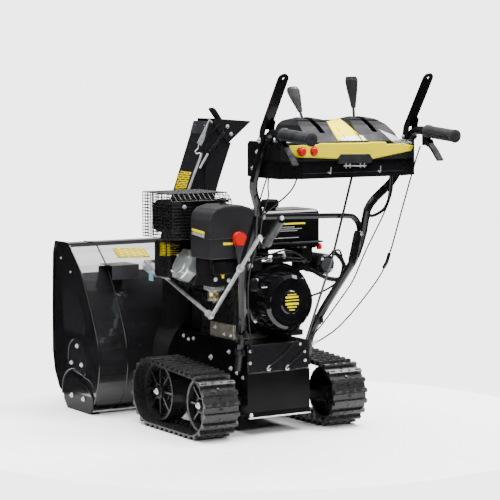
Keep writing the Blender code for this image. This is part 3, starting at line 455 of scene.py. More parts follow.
def coil(name, start, end, radius, wire, turns, finish, body="chassis"):
    """A helical spring between two points."""
    place = frame_along(start, end)
    length = (Vector(end) - Vector(start)).length
    count = int(turns * 12)
    points = [place @ Vector((radius * math.cos(math.tau * turns * k / count),
                radius * math.sin(math.tau * turns * k / count), length * k / count))
        for k in range(count + 1)]
    return tube(name, points, wire, finish, steps=0, resolution=1, slot="", body=body)


TREES = {}


def seen_from_eye(point, node, lift):
    """Where the line from the eye through a point meets a CAD node, lifted off its surface."""
    if node not in TREES:
        TREES[node] = BVHTree.FromObject(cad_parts[node], bpy.context.evaluated_depsgraph_get())
    start = EYE * MM
    ray = (Vector(point) * MM - start).normalized()
    hit, normal, _, _ = TREES[node].ray_cast(start, ray)
    if hit is None:
        return None
    if normal.dot(ray) > 0:
        normal = -normal
    return hit / MM + normal * lift


def lay_sheet(name, node, spots, columns, rows, finish, lift, thickness, slot=None, labelled=False, body="chassis",
              dropped=frozenset()):
    """A thin sheet on a CAD node. Spots is the grid of points it lies on."""
    bm = bmesh.new()
    uv = bm.loops.layers.uv.new("UVMap") if labelled else None
    grid = {}
    for key, spot in spots.items():
        found = seen_from_eye(spot, node, lift)
        if found is not None:
            grid[key] = bm.verts.new(found)
    for i in range(columns):
        for j in range(rows):
            keys = [(i, j), (i + 1, j), (i + 1, j + 1), (i, j + 1)]
            if not all(k in grid for k in keys) or all(k in dropped for k in keys):
                continue
            face = bm.faces.new([grid[k] for k in keys])
            if labelled:
                for loop, (p, q) in zip(face.loops, keys):
                    loop[uv].uv = (p / columns, q / rows)
    mesh = bpy.data.meshes.new(name)
    bm.to_mesh(mesh)
    bm.free()
    made = piece(name, mesh, finish, slot=slot, body=body)
    thick = made.modifiers.new("thickness", "SOLIDIFY")
    thick.thickness = thickness * MM
    thick.offset = 0.0
    return made


def decal(name, node, corners, finish, lift=0.5, fine=8, body="chassis"):
    """A thin sheet laid on a CAD node, between four corners in order round its edge."""
    a, b, c, d = [Vector(p) for p in corners]
    spots = {(i, j): a.lerp(b, i / fine).lerp(d.lerp(c, i / fine), j / fine) for i in range(fine + 1)
        for j in range(fine + 1)}
    return lay_sheet(name, node, spots, fine, fine, finish, lift, 0.3, labelled=True, body=body)


# ---------------------------------------------------------------- auger housing
BACK_WALL = [(706, 552), (622, 550), (584, 522), (523, 465), (466, 378), (418, 286), (398, 223), (393, 157),
    (408, 91), (438, 42), (478, 15), (502, 12)]
PLATE_RIM = [(714, 557), (620, 556), (584, 529), (522, 469), (465, 381), (416, 287), (396, 223), (390, 157),
    (406, 89), (437, 35), (520, 9)]
BEARING_RIDGE = [(528, 222), (556, 238), (582, 238), (606, 222), (616, 203), (622, 158), (608, 140),
    (502, 126), (496, 142)]


def both(places):
    """The given (point, direction, size) places and their mirror images."""
    mirror = [((-p[0], p[1], p[2]), (-d[0], d[1], d[2]), s) for p, d, s in places]
    return places + mirror


def housing_details():
    """Bolts, pressed rims and ridges, lobes, label and shield of the auger housing."""
    bolts("housing_bolts", both([((-352, 552, 218), LEFTWARD, 13), ((-352, 596, 157), LEFTWARD, 13),
                ((-352, 520, 158), LEFTWARD, 13), ((-356.2, 587, 48), LEFTWARD, 14),
                ((-356.2, 500, 46), LEFTWARD, 14), ((-350, 671, 504), LEFTWARD, 7),
                ((-350, 599, 462), LEFTWARD, 7)]), ZINC)
    for side, sign in SIDES:
        tube(f"plate_rim_{side}", [(sign * 350.5, y, z) for y, z in PLATE_RIM], 3.2, GLOSS_BLACK)
        tube(f"bearing_ridge_{side}", [(sign * 351.5, y, z) for y, z in BEARING_RIDGE], 3.0, GLOSS_BLACK)
        tube(f"drum_rib_{side}", [(sign * 245, y - 1.2, z) for y, z in BACK_WALL], 3.4, GLOSS_BLACK)
        lobe = [(640, 26), (636, 66), (612, 98), (580, 114), (545, 110), (520, 97), (480, 90), (450, 74),
            (432, 50), (430, 24), (452, 2), (622, 2)]
        bm = bmesh.new()
        add_prism(bm, lobe, Matrix(((0, 0, 1, 350.2 if sign > 0 else -355.8), (1, 0, 0, 0), (0, 1, 0, 0),
                    (0, 0, 0, 1))), 5.6)
        piece(f"skid_lobe_{side}", bm, GLOSS_BLACK, bevel=1.5)
        tube(f"lobe_ridge_{side}", [(sign * 352, y, z) for y, z in ((668, 44), (660, 92), (630, 124),
                    (585, 140), (540, 136), (500, 122), (455, 112), (425, 90))], 3.4, GLOSS_BLACK)
    decal("housing_label", "auger_housing", [(-268, 450, 549), (-152, 450, 546), (-127, 450, 512),
            (-249, 450, 517)], LABEL)
    boxes("chute_shield", [((-272, 446, 489), (-172, 538, 492)), ((-272, 444, 444), (-172, 447, 492))],
        SLATE_PLASTIC, bevel=1.2, slot="satin_black_paint")


# ---------------------------------------------------------------- chute
def chute_details():
    """Hinge, stay, spring, cable and label of the chute."""
    near = 305.0
    bolts("hood_bolts", [((90, near, 947), REARWARD, 11), ((104, near, 922), REARWARD, 11),
            ((90, 419, 947), (0, 1, 0), 11)], body="deflector")
    bolts("hinge_bolts", [((22, 334, 951), (-1, 0, 0.35), 9), ((22, 394, 951), (-1, 0, 0.35), 9)],
        body="chute")
    bm = bmesh.new()
    place = frame_along((32, 318, 968), (-15, 318, 890))
    add_box(bm, (-9, -8, 0), (9, -5.5, 91), place)
    piece("chute_bar", bm, ZINC, bevel=0.6, body="chute")
    bm = bmesh.new()
    add_prism(bm, [(-3, 0), (0, 0), (0, 42), (-3, 42)], Matrix(((1, 0.32, 0, 12), (0, 0, -1, 415),
                (0, 1, 0, 924), (0, 0, 0, 1))), 106)
    piece("chute_strap", bm, SLATE_PLASTIC, bevel=0.5, slot="zinc_plate", body="chute")
    tube("chute_hook", [(-15, 313, 890), (-20, 312, 876), (-30, 311, 868), (-26, 311, 860), (-12, 311, 862),
            (-6, 310, 858)], 2.0, CHROME, body="chute")
    tube("chute_stay", [(-8, 309, 862), (-13, 309, 845), (-48, 309, 764), (-64, 309, 726)], 4.2, CHROME,
        steps=2, body="chute")
    coil("chute_spring", (74, 299, 930), (18, 299, 866), 5.4, 1.5, 13, WIRE, body="chute")
    tube("spring_ferrule", [(11, 299, 859), (-20, 299, 812)], 4.0, CHROME, steps=0, body="chute")
    tube("chute_cable", [(-20, 299, 812), (-30, 299, 774), (-26, 300, 720), (-20, 302, 640), (-36, 303, 560)],
        2.2, BLACK_PLASTIC, body="chute")
    tube("hood_lanyard", [(60, 302, 956), (30, 302, 930), (6, 302, 880), (2, 303, 820), (0, 303, 740)], 2.0,
        BLACK_PLASTIC, body="chute")
    for side, y in (("near", 308.6), ("far", 415.4)):
        tube(f"chute_edge_{side}", [(103, y, 893), (48, y, 743), (28, y, 640), (20, y, 560)], 2.2,
            GLOSS_BLACK, body="chute")
    decal("chute_label", "chute", [(-71, 362, 804), (-16, 362, 796), (-37, 362, 741), (-86, 362, 738)], LABEL,
        body="chute")
    turned("chute_ring_guard", [([(96, 0), (99, 1), (99, 5), (96, 6), (70, 6)], (-50, 362, 474.5),
                (-50, 362, 480), 48)], GLOSS_BLACK)


# ---------------------------------------------------------------- crank and worm
def crank_details():
    """Bolts, collar, sticker and joint pin of the chute crank."""
    start = Vector((-156.5, 360.0, 484.0))
    joint = Vector((-162, -20, 364))
    run = (joint - start).normalized()
    bolts("worm_bolts", [((-181, 330, 474), LEFTWARD, 11), ((-181, 392, 494), LEFTWARD, 11)])
    turned("worm_collar", [([(9, 0), (10.5, 1), (10.5, 15), (9, 16)], start + run * 47, start + run * 60,
                18)], CHROME, body="worm_rod")
    boxes("worm_sticker", [((-183.5, 326, 446), (-182.2, 354, 478))], BLUE_LABEL)
    turned("joint_pin", [([(7, 0), (9, 1), (9, 8), (0, 8)], joint + Vector((0, 0, 8)),
                joint + Vector((0, 0, 20)), 6)], CHROME, body="crank")


# ---------------------------------------------------------------- tracks
FRONT_WHEEL = (158, 111)
REAR_WHEEL = (-113, 103)
FRONT_RADIUS = 95.6
REAR_RADIUS = 87.6
BELT_MIDDLE = 235.5


def wheel_details():
    """Ribs, rings and hub bolts of the four wheels."""
    for end, (y, z), radius in (("front", FRONT_WHEEL, FRONT_RADIUS), ("rear", REAR_WHEEL, REAR_RADIUS)):
        for side, sign in SIDES:
            out = Vector((sign, 0, 0))
            centre = Vector((sign * 231.0, y, z))
            bm = bmesh.new()
            inner = radius * 0.47
            outer = radius * 0.80
            place = frame_along(centre, centre + out)
            for k in range(40):
                turn = place @ Matrix.Rotation(math.tau * k / 40, 4, "Z")
                add_box(bm, (inner, -1.0, -1), (outer, 1.0, 11), turn)
            for ring in (inner, outer):
                add_lathe(bm, [(ring - 2, -1), (ring - 2, 13), (ring + 2, 13), (ring + 2, -1)], centre,
                    centre + out, 48)
            add_lathe(bm, [(21, 26), (17, 28), (17, 31.5), (15.5, 32), (15.5, 26)], centre, centre + out, 24)
            piece(f"wheel_ribs_{end}_{side}", bm, BLACK_PLASTIC, body=f"wheel_{end}_{side}")
            bolts(f"hub_bolt_{end}_{side}", [((sign * 263, y, z), (sign, 0, 0), 17)])


def track_points(front, rear, r_front, r_rear, count):
    """Points and outward directions spaced evenly round the belt."""
    front, rear = Vector(front), Vector(rear)
    span = front - rear
    base = math.atan2(span.y, span.x)
    swing = math.acos((r_front - r_rear) / span.length)
    straight = math.sqrt(span.length ** 2 - (r_front - r_rear) ** 2)
    top = Vector((math.cos(base + swing), math.sin(base + swing)))
    low = Vector((math.cos(base - swing), math.sin(base - swing)))
    front_length = r_front * 2 * swing
    rear_length = r_rear * (math.tau - 2 * swing)
    total = front_length + rear_length + 2 * straight
    found = []
    for k in range(count):
        s = (k + 0.25) / count * total
        if s < front_length:
            angle = base - swing + s / r_front
            normal = Vector((math.cos(angle), math.sin(angle)))
            found.append((front + normal * r_front, normal))
        elif s < front_length + straight:
            share = (s - front_length) / straight
            found.append(((front + top * r_front).lerp(rear + top * r_rear, share), top))
        elif s < front_length + straight + rear_length:
            angle = base + swing + (s - front_length - straight) / r_rear
            normal = Vector((math.cos(angle), math.sin(angle)))
            found.append((rear + normal * r_rear, normal))
        else:
            share = (s - front_length - straight - rear_length) / straight
            found.append(((rear + low * r_rear).lerp(front + low * r_front, share), low))
    return found


def track_details():
    """Studs and tread blocks of the belts."""
    belt = track_points(FRONT_WHEEL, REAR_WHEEL, FRONT_RADIUS + 0.35, REAR_RADIUS + 0.35, 36)
    for side, sign in SIDES:
        studs = bmesh.new()
        guides = bmesh.new()
        for k, (point, normal) in enumerate(belt):
            after, _ = belt[(k + 1) % len(belt)]
            middle = (point + after) / 2
            out = Vector((0, normal.x, normal.y))
            run = Vector((0, after.x - point.x, after.y - point.y)).normalized()
            side_way = Vector((sign, 0, 0))
            gap = Vector((sign * BELT_MIDDLE, middle.x, middle.y))
            add_lathe(studs, [(4.6, 3), (4.6, 8.2), (3.6, 9), (0, 9)], gap, gap + out, 12)
            lug = Vector((sign * BELT_MIDDLE, point.x, point.y))
            place = Matrix((side_way, run, out)).transposed().to_4x4()
            place.translation = lug
            for low, high in ((-60, -36), (-22, -9), (9, 22), (36, 60)):
                add_box(guides, (low, -7.5, 4), (high, 7.5, 12.2), place)
                add_box(guides, (low + 2, -3.0, 12), (high - 2, 3.0, 15.6), place)
            add_box(guides, (-3, -5, -13), (3, 5, 1), place)
        piece(f"track_studs_{side}", studs, WIRE)
        piece(f"track_tread_{side}", guides, RUBBER, bevel=0.8)


# ---------------------------------------------------------------- muffler guard
def guard_details():
    """Cage of round wires round the muffler, in place of the plain guard."""
    low, high = 604.0, 745.0
    left, right = -256.0, -42.0
    rear, front = 57.0, 256.0
    bm = bmesh.new()

    def wire(start, end, radius=1.25):
        length = (Vector(end) - Vector(start)).length
        add_lathe(bm, [(0, 0), (radius, 0), (radius, length), (0, length)], start, end, 6)

    for k in range(15):
        z = low + (high - low) * k / 14
        wire((left, rear + max(0, z - 722) * 1.35, z), (left, front, z))
        if z < 724:
            wire((left, rear, z), (left + 70, rear, z))
        wire((right, rear + max(0, z - 722) * 1.35, z), (right, front, z))
        wire((left, front, z), (right, front, z))
    for k in range(12):
        y = rear + (front - rear) * k / 11
        top = min(high, 722 + (y - rear) / 1.35)
        wire((left, y, low), (left, y, top), 1.5)
        wire((right, y, low), (right, y, top), 1.5)
    for k in range(13):
        x = left + (right - left) * k / 12
        wire((x, 88, high), (x, front, high))
        wire((x, 88, high), (x, rear, 722))
        wire((x, front, low), (x, front, high), 1.5)
    for k in range(16):
        y = 88 + (front - 88) * k / 15
        wire((left, y, high), (right, y, high))
    for y, z in ((88, high), (rear, 722), (front, high)):
        wire((left, y, z), (right, y, z), 2.2)
    for z in (low, 722):
        wire((left, rear, z), (right, rear, z), 2.0)
    cage = piece("guard_cage", bm, WIRE)
    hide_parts("muffler_guard")
    bm = bmesh.new()
    for k in range(8):
        z = 632 + k * 11
        for column in range(3):
            y = 98 + column * 42
            place = Matrix.Translation((-240, y, z)) @ Matrix.Rotation(math.radians(28), 4, "Y")
            add_box(bm, (-6, 0, -1), (3, 34, 1), place)
    piece("muffler_louvres", bm, SOOT, bevel=0.4)
    boxes("heat_shield", [((-222, 60, 604), (-60, 63, 728)), ((-232, 92, 742), (-50, 250, 743.5))], SOOT,
        bevel=0.5)
    bolts("guard_bolts", [((-214, 55.5, 706), (0, -1, 0.2), 11), ((-90, 55.5, 706), (0, -1, 0.2), 11)])


# ---------------------------------------------------------------- engine
FAN_X, FAN_Z = 40, 410
STARTER_X, STARTER_Z = 232, 512


def engine_details():
    """Covers, labels, bolts, rods and hoses of the engine."""
    lean = Vector((-0.906, 0, 0.4226))
    cap = Vector((-197.5, 110, 524)) + lean * 0.5
    up = Vector((0.4226, 0, 0.906))
    turned("rocker_dome", [([(34, -1), (33, 3), (27, 6), (0, 7)], cap, cap + lean, 32)], COVER_SILVER)
    rocker = [(cap + up * a + Vector((0, b, 0)) + lean * 0.4, lean, 9) for a,
        b in ((24, -38), (24, 38), (-30, -34), (-30, 34))]
    bolts("rocker_bolts", rocker)
    boxes("crankcase_foot", [((-103, -57, 287), (-94, 92, 334)), ((-101, -59, 287), (20, -52, 305))],
        TAN_CASTING, bevel=1.5)
    bolts("base_bolts", [((-103, -40, 300), LEFTWARD, 11), ((-103, 4, 300), LEFTWARD, 11),
            ((-103, 60, 318), LEFTWARD, 11)])
    turned("float_bowl", [([(22.5, 0), (22.8, 2), (22.8, 20), (20, 24), (22.4, 26)], (-126, 23, 414),
                (-126, 23, 440), 28), ([(6, 0), (6, 8), (0, 8)], (-126, 23, 408), (-126, 23, 398), 6)], BRASS)
    turned("carburettor_screws", [([(size, 0), (size, 5), (size * 0.7, 7), (0, 7)], (x, -4, z), (x, -12, z),
                14) for x, z, size in ((-140, 500, 6), (-112, 500, 6), (-128, 470, 9), (-146, 455, 5))],
        BRASS)
    boxes("duct_ribs", [((-206 + k * 0.3, 168.2, 512 + k * 7), (-74, 170.2, 515 + k * 7)) for k in range(12)],
        DARK_CASTING, bevel=0.4)
    decal("duct_label", "engine_block", [(-240, 170, 588), (-170, 170, 584), (-168, 170, 540),
            (-241, 170, 545)], LABEL)
    # carburettor cover
    bm = bmesh.new()
    add_lathe(bm, [(13, 0), (13, 3), (7, 5), (7, 12), (0, 13)], (-116, -20, 715), (-116, -20, 730), 20)
    add_box(bm, (-134, -24, 721), (-98, -16, 730))
    piece("cover_knob", bm, BLACK_PLASTIC, bevel=1.0)
    for name, corners, finish in (
            ("cover_stripe", [(-266, -84, 651), (-221, -84, 637), (-221, -84, 628), (-266, -84, 642)], YELLOW),
            ("cover_text", [(-266, -84, 640), (-222, -84, 626), (-222, -84, 617), (-266, -84, 632)], PALE),
            ("cover_tick", [(-156, -84, 600), (-120, -84, 599), (-120, -84, 592), (-156, -84, 593)], YELLOW)):
        decal(name, "carb_cover", corners, finish, fine=4)
    boxes("cover_seam", [((-203, -86, 611), (-30, 47, 613.4))], SEAM, bevel=0.5)
    boxes("cover_base", [((-190, -70, 462), (-58, 30, 549)), ((-186, -76, 500), (-62, -69, 540))],
        BLACK_PLASTIC, bevel=5)
    bolts("cover_base_bolts", [((-175, -70.5, 486), REARWARD, 11), ((-128, -70.5, 480), REARWARD, 11),
            ((-74, -70.5, 505), REARWARD, 11)])
    boxes("fuel_mark", [((-153, -71.2, 488), (-145, -70.2, 512)), ((-157, -71.2, 498), (-142, -70.2, 503))],
        YELLOW)
    # fuel tank
    boxes("tank_stripe", [((56, -79.2, 646), (150, -78.2, 651))], YELLOW)
    boxes("tank_lines", [((x, -79.2, z), (x + length, -78.2, z + 2.2)) for x, z,
            length in ((50, 637, 60), (52, 631, 84), (56, 625, 64), (30, 603, 96))], PALE)
    boxes("tank_flange", [((-20, -84, 584), (216, 78, 590)), ((-2, -60, 536), (24, 50, 568)),
            ((150, -60, 520), (190, 50, 568))], BLACK_PLASTIC, bevel=2.5)
    bm = bmesh.new()
    for k in range(20):
        turn = Matrix.Translation((60, -10, 0)) @ Matrix.Rotation(math.tau * k / 20, 4, "Z")
        add_box(bm, (27.2, -1.6, 702), (29.4, 1.6, 718), turn)
    piece("cap_grips", bm, BLACK_PLASTIC, bevel=0.5, body="fuel_cap")
    # recoil starter and fan cover
    turned("emblem_disc", [([(31, 0), (31, 1.2), (29, 1.6), (0, 1.6)], (FAN_X, -172, FAN_Z),
                (FAN_X, -174, FAN_Z), 40)], SHINY_PLASTIC)
    bars = ((435, 16, 3), (427, 23, 6), (417, 25, 3), (406, 24, 7), (396, 17, 4), (387, 10, 3))
    boxes("emblem_bars", [((40 - half, -174.6, z - thick / 2), (40 + half, -173.4, z + thick / 2)) for z,
            half, thick in bars], YELLOW)
    bm = bmesh.new()
    for radius, depth in ((60, -167.5), (74, -166.5)):
        add_lathe(bm, [(radius - 2, 0), (radius - 1.2, 2.2), (radius + 1.2, 2.2), (radius + 2, 0)],
            (FAN_X, depth, FAN_Z), (FAN_X, depth - 10, FAN_Z), 56)
    add_lathe(bm, [(112, 0), (113, 3.5), (118, 3.5), (119, 0)], (FAN_X, -90.5, FAN_Z), (FAN_X, -100, FAN_Z),
        64)
    piece("starter_rings", bm, SHINY_PLASTIC)
    bm = bmesh.new()
    for k in range(22):
        angle = math.tau * k / 22
        turn = Matrix.Translation((FAN_X, 0, FAN_Z)) @ Matrix.Rotation(angle, 4, "Y")
        add_box(bm, (86.5, -150, -4), (90.6, -112, 4), turn)
    piece("starter_vents", bm, BLACK_PLASTIC, bevel=0.6)
    shroud = [((FAN_X + 106 * math.cos(a), -97, FAN_Z + 106 * math.sin(a)), REARWARD, 10)
        for a in [math.radians(d) for d in (35, 140, 215, 320)]]
    bolts("shroud_bolts", shroud + [((62, -92, 548), REARWARD, 12), ((-60, -92, 524), REARWARD, 12)])
    # control plate, springs and rods above the fan cover
    boxes("control_plate", [((-30, -92, 528), (150, -60, 532)), ((-62, -90, 506), (-18, -87, 552)),
            ((20, -90, 530), (96, -87, 558))], FRAME_BLACK, bevel=0.8)
    tube("governor_rod", [(-48, -98, 541), (20, -99, 546), (104, -97, 541), (150, -80, 536)], 1.8, WIRE)
    coil("governor_spring", (-10, -96, 536), (58, -96, 550), 4.0, 1.0, 16, WIRE)
    tube("ignition_lead", [(-20, -60, 560), (10, -92, 556), (60, -98, 566), (120, -96, 548), (150, -70, 520)],
        3.2, BLACK_PLASTIC)
    tube("fuel_hose", [(20, -60, 566), (0, -90, 548), (-50, -94, 540), (-90, -60, 520), (-110, 0, 500)], 3.6,
        BLACK_PLASTIC)
    turned("fuel_tap", [([(6, 0), (9, 2), (9, 12), (5, 20), (0, 20)], (214, -62, 560), (214, -62, 582), 20)],
        RED, bevel=0.6)
    # starter motor
    turned("starter_bands", [([(32, 0), (33.6, 1), (33.6, 5), (32, 6)], (STARTER_X, -72 + k * 12, STARTER_Z),
                (STARTER_X, -62 + k * 12, STARTER_Z), 36) for k in range(9)], BLACK_PLASTIC)
    turned("starter_cap", [([(21, 0), (22, 1.5), (14, 3.5), (0, 4)], (STARTER_X, -80, STARTER_Z),
                (STARTER_X, -90, STARTER_Z), 28)], SLATE_PLASTIC)
    hose = smooth_path([(180, -60, 497), (225, -84, 470), (275, -86, 462), (300, -84, 482), (294, -70, 524),
            (266, -60, 552)], 8)
    tube("starter_hose", hose, 6.2, BLACK_PLASTIC, steps=0)
    turned("hose_rings", [([(6, -1.4), (8, -0.7), (8, 0.7), (6, 1.4)], near, far, 14) for near,
            far in zip(hose, hose[1:])], BLACK_PLASTIC)
    tube("starter_wire", [(240, -80, 540), (262, -86, 556), (290, -70, 548), (306, -60, 500), (290, -50, 450),
            (240, -40, 420), (170, -30, 400)], 3.4, BLACK_PLASTIC)
    bolts("starter_bolts", [((214, -80, 530), REARWARD, 8), ((250, -80, 494), REARWARD, 8)])


# ---------------------------------------------------------------- tractor frame
def frame_details():
    """Bolts, rear panel, brake cables and clamps of the chassis box."""
    bolts("frame_bolts", [((-104, -155, 265), REARWARD, 13), ((-104, -155, 228), REARWARD, 13),
            ((-104, -164, 66), REARWARD, 10), ((80, -155, 275), REARWARD, 12),
            ((96, -155, 250), REARWARD, 12), ((98, -155, 222), REARWARD, 14),
            ((-114, -58, 200), LEFTWARD, 13), ((-114, -94, 190), LEFTWARD, 11),
            ((-114, -131, 180), LEFTWARD, 11), ((-114, 68, 221), LEFTWARD, 15),
            ((-114, -46, 251), LEFTWARD, 13), ((-114, 180, 268), LEFTWARD, 11),
            ((-114, 214, 262), LEFTWARD, 11), ((-114, 246, 270), LEFTWARD, 11)])
    boxes("rear_panel", [((-112, -158, 198), (110, -155.2, 284)), ((-112, -160.5, 194.2),
                (112, -154, 198.5))], GLOSS_BLACK, bevel=1.2)
    tube("frame_lip_edge", [(-114, -164.5, 56), (0, -164.5, 56), (114, -164.5, 56)], 2.2, CHROME, steps=0)
    for side, points in (("left", [(68, -161, 293), (20, -162, 250), (-34, -161, 216)]),
                         ("right", [(99, -161, 262), (66, -162, 234), (34, -161, 212)])):
        tube(f"brake_cable_{side}", points, 2.4, BLACK_PLASTIC)
        end = Vector(points[-1])
        tube(f"cable_hook_{side}", [end, end + Vector((-6, 0, -4)), end + Vector((-9, 0, -12)),
                end + Vector((-2, 0, -15)), end + Vector((2, 0, -9))], 2.1, CHROME)
    bm = bmesh.new()
    for x, y, z, dx, dy, dz in ((-133, -156, 320, -12, -27, 60), (139, -169, 350, 15, -26, 50),
                                (-127.2, -135, 262, 0, -14, 60)):
        add_lathe(bm, [(13, -9), (16.5, -9), (16.5, 9), (13, 9)], (x, y, z), (x + dx, y + dy, z + dz), 24)
        add_box(bm, (x - 4, y - 26, z - 8), (x + 4, y - 12, z + 8))
    piece("handle_clamps", bm, BLACK_PLASTIC, bevel=1.0)


# ---------------------------------------------------------------- dash
def follow(line, x):
    """Height of a line of (x, z) points at x."""
    for (x0, z0), (x1, z1) in zip(line[:-1], line[1:]):
        if x <= x1:
            return z0 + (z1 - z0) * (x - x0) / (x1 - x0)
    return line[-1][1]


def band(name, node, upper, lower, depth, finish, lift, slot, holes):
    """A sheet on a CAD node between two lines. Round holes are given as (x, z, radius)."""
    columns, rows = 150, 10
    left = max(upper[0][0], lower[0][0])
    right_end = min(upper[-1][0], lower[-1][0])
    spots = {}
    inside = set()
    for i in range(columns + 1):
        x = left + (right_end - left) * i / columns
        top, low = follow(upper, x), follow(lower, x)
        for j in range(rows + 1):
            across, z = x, low + (top - low) * j / rows
            for middle, height, radius in holes:
                away = Vector((across - middle, z - height))
                if away.length < radius:
                    inside.add((i, j))
                    away = away.normalized() * radius
                    across, z = middle + away.x, height + away.y
            spots[i, j] = (across, depth, z)
    return lay_sheet(name, node, spots, columns, rows, finish, lift, 0.6, slot=slot, dropped=inside)


def dash_details():
    """Yellow panels, clips, rings and slot rims of the dash."""
    band("dash_band", "dash_cover", [(-231, 918), (-135, 919), (-120, 923), (-72, 922), (39, 921), (51, 923),
            (104, 922), (112, 915), (169, 916), (205, 908)], [(-231, 908), (-220, 896), (-203, 884),
            (-61, 876), (57, 872), (195, 893), (205, 902)], -586, YELLOW, 0.9, "grey_plastic",
        holes=[(-184, 900, 12.6), (-145, 900, 12.6)])
    for name, corners, finish, lift, fine in (
            ("dash_panel", [(-57, -520, 982), (0, -500, 991), (42, -586, 925), (-62, -586, 928)], YELLOW, 0.7, 14),
            ("dash_panel_foot", [(-50, -586, 941), (24, -586, 941), (40, -586, 926), (-54, -586, 928)], WHITE, 1.1, 10),
            ("dash_shoulder_right", [(160, -470, 956), (168, -470, 952), (232, -560, 913), (150, -570, 914)], PALE,
             0.5, 14),
            ("dash_shoulder_left", [(-234, -560, 937), (-190, -575, 934), (-172, -586, 925), (-228, -570, 925)], PALE,
             0.5, 10)):
        decal(name, "dash_cover", corners, finish, lift=lift, fine=fine)
    flat = Matrix(((1, 0, 0, 0), (0, 0, -1, -578), (0, 1, 0, 0), (0, 0, 0, 1)))
    bm = bmesh.new()
    add_prism(bm, [(-64, 877), (-53, 890), (47, 888), (58, 872), (52, 861), (-60, 863)], flat, 14)
    piece("dash_clip_plate", bm, KNOB_PLASTIC, bevel=1.5)
    bm = bmesh.new()
    for x in (-36, -22, 14, 28):
        add_lathe(bm, [(0, 0), (2, 0), (2, 16), (0, 16)], (x, -590, 848), (x, -590, 864), 8)
    add_lathe(bm, [(0, 0), (2.2, 0), (2.2, 78), (0, 78)], (-44, -590, 855), (36, -590, 853), 8)
    for x in (-84, 91):
        add_lathe(bm, [(0, 0), (1.8, 0), (1.8, 20), (0, 20)], (x, -581, 832), (x + 2, -581, 852), 8)
        add_lathe(bm, [(0, 0), (1.8, 0), (1.8, 10), (0, 10)], (x, -581, 833), (x - 8, -581, 838), 8)
    piece("dash_clips", bm, CHROME)
    boxes("tray_edge", [((-176, -579.6, 834), (176, -577.6, 836.4))], KNOB_PLASTIC)
    bolts("dash_bolts", both([((-240.2, -431, 895), LEFTWARD, 13), ((-240.2, -406, 847), LEFTWARD, 13)]))
    for name, x in (("light_ring", -184), ("heater_ring", -145)):
        turned(name, [([(11.2, 0), (13.4, 0.4), (13.4, 2.4), (11.2, 3)], (x, -586, 900), (x, -588, 900), 28)],
            RED)
    for side, x in (("left", -92), ("right", 92)):
        bm = bmesh.new()
        for s in (-1, 1):
            for k in range(18):
                y0 = -566 + k * 8.2
                found = seen_from_eye((x + s * 10, y0, 985), "dash_cover", 0.2)
                if found is not None:
                    add_box(bm, (-1.2, -4.6, -1), (1.2, 4.6, 1.2), Matrix.Translation(found))
        piece(f"slot_rim_{side}", bm, KNOB_PLASTIC, slot="grey_plastic")


# ---------------------------------------------------------------- handlebars and cables
def handle_details():
    """Grip ribs, bolts, sleeves and cables of the handlebars."""
    for side, sign in SIDES:
        bolts(f"lever_bolt_{side}", [((sign * 275, -499.5, 932), (sign, 0, 0), 14),
                ((sign * 231, -499.5, 932), (-sign, 0, 0), 12)])
        bm = bmesh.new()
        start = Vector((sign * 252.5, -590.4, 950))
        end = Vector((sign * 248.5, -738, 939))
        run = (end - start).normalized()
        reach = (end - start).length
        for k in range(24):
            at = start + run * (10 + k * (reach - 30) / 23)
            add_lathe(bm, [(17.2, -1.6), (18.2, -0.8), (18.2, 0.8), (17.2, 1.6)], at, at + run, 26)
        add_lathe(bm, [(19.5, -6), (20.5, -3), (20.5, 3), (17, 7)], start + run * 8, start + run * 9, 28)
        add_lathe(bm, [(17, -10), (19.2, -8), (19.6, -1), (17, 0.8), (6, 0.8), (5, -1), (0, -1)], end,
            end + run, 28)
        piece(f"grip_ribs_{side}", bm, GRIP_RUBBER)
    tube("side_loop", [(224, -446, 822), (233, -430, 780), (239, -412, 736), (230, -396, 705),
            (205, -380, 688), (196, -364, 690)], 5.0, FRAME_BLACK)
    turned("crossbar_sleeve", [([(5, -2), (11, 0), (12.5, 12), (12.5, 88), (10, 104), (6, 112), (0, 112)],
                (160, -364, 640), (146, -350, 545), 24)], BLACK_PLASTIC)
    bolts("crossbar_bolts", [((164, -372, 634), REARWARD, 13), ((-184, -374, 699), REARWARD, 11)])
    tube("throttle_cable", [(-126, -470, 822), (-134, -458, 790), (-150, -440, 762), (-174, -420, 737),
            (-196, -400, 712), (-206, -385, 700)], 2.4, BLACK_PLASTIC)
    tube("chute_cable_upper", [(-224, -466, 822), (-216, -450, 790), (-206, -436, 764), (-205, -410, 724),
            (-190, -370, 680), (-170, -320, 600)], 2.2, BLACK_PLASTIC)
    tube("drive_cable", [(226, -452, 822), (242, -424, 760), (236, -388, 689), (226, -306, 570),
            (218, -250, 477), (190, -214, 410), (150, -184, 340), (112, -166, 290)], 2.4, BLACK_PLASTIC)
    tube("steering_sleeve", [(245, -408, 572), (242, -400, 546), (239, -386, 526)], 5.4, BLACK_PLASTIC)
    coil("steering_spring", (118, -167, 272), (132, -180, 286), 4.4, 1.2, 6, CHROME)


housing_details()
chute_details()
crank_details()
wheel_details()
track_details()
guard_details()
engine_details()
frame_details()
dash_details()
handle_details()


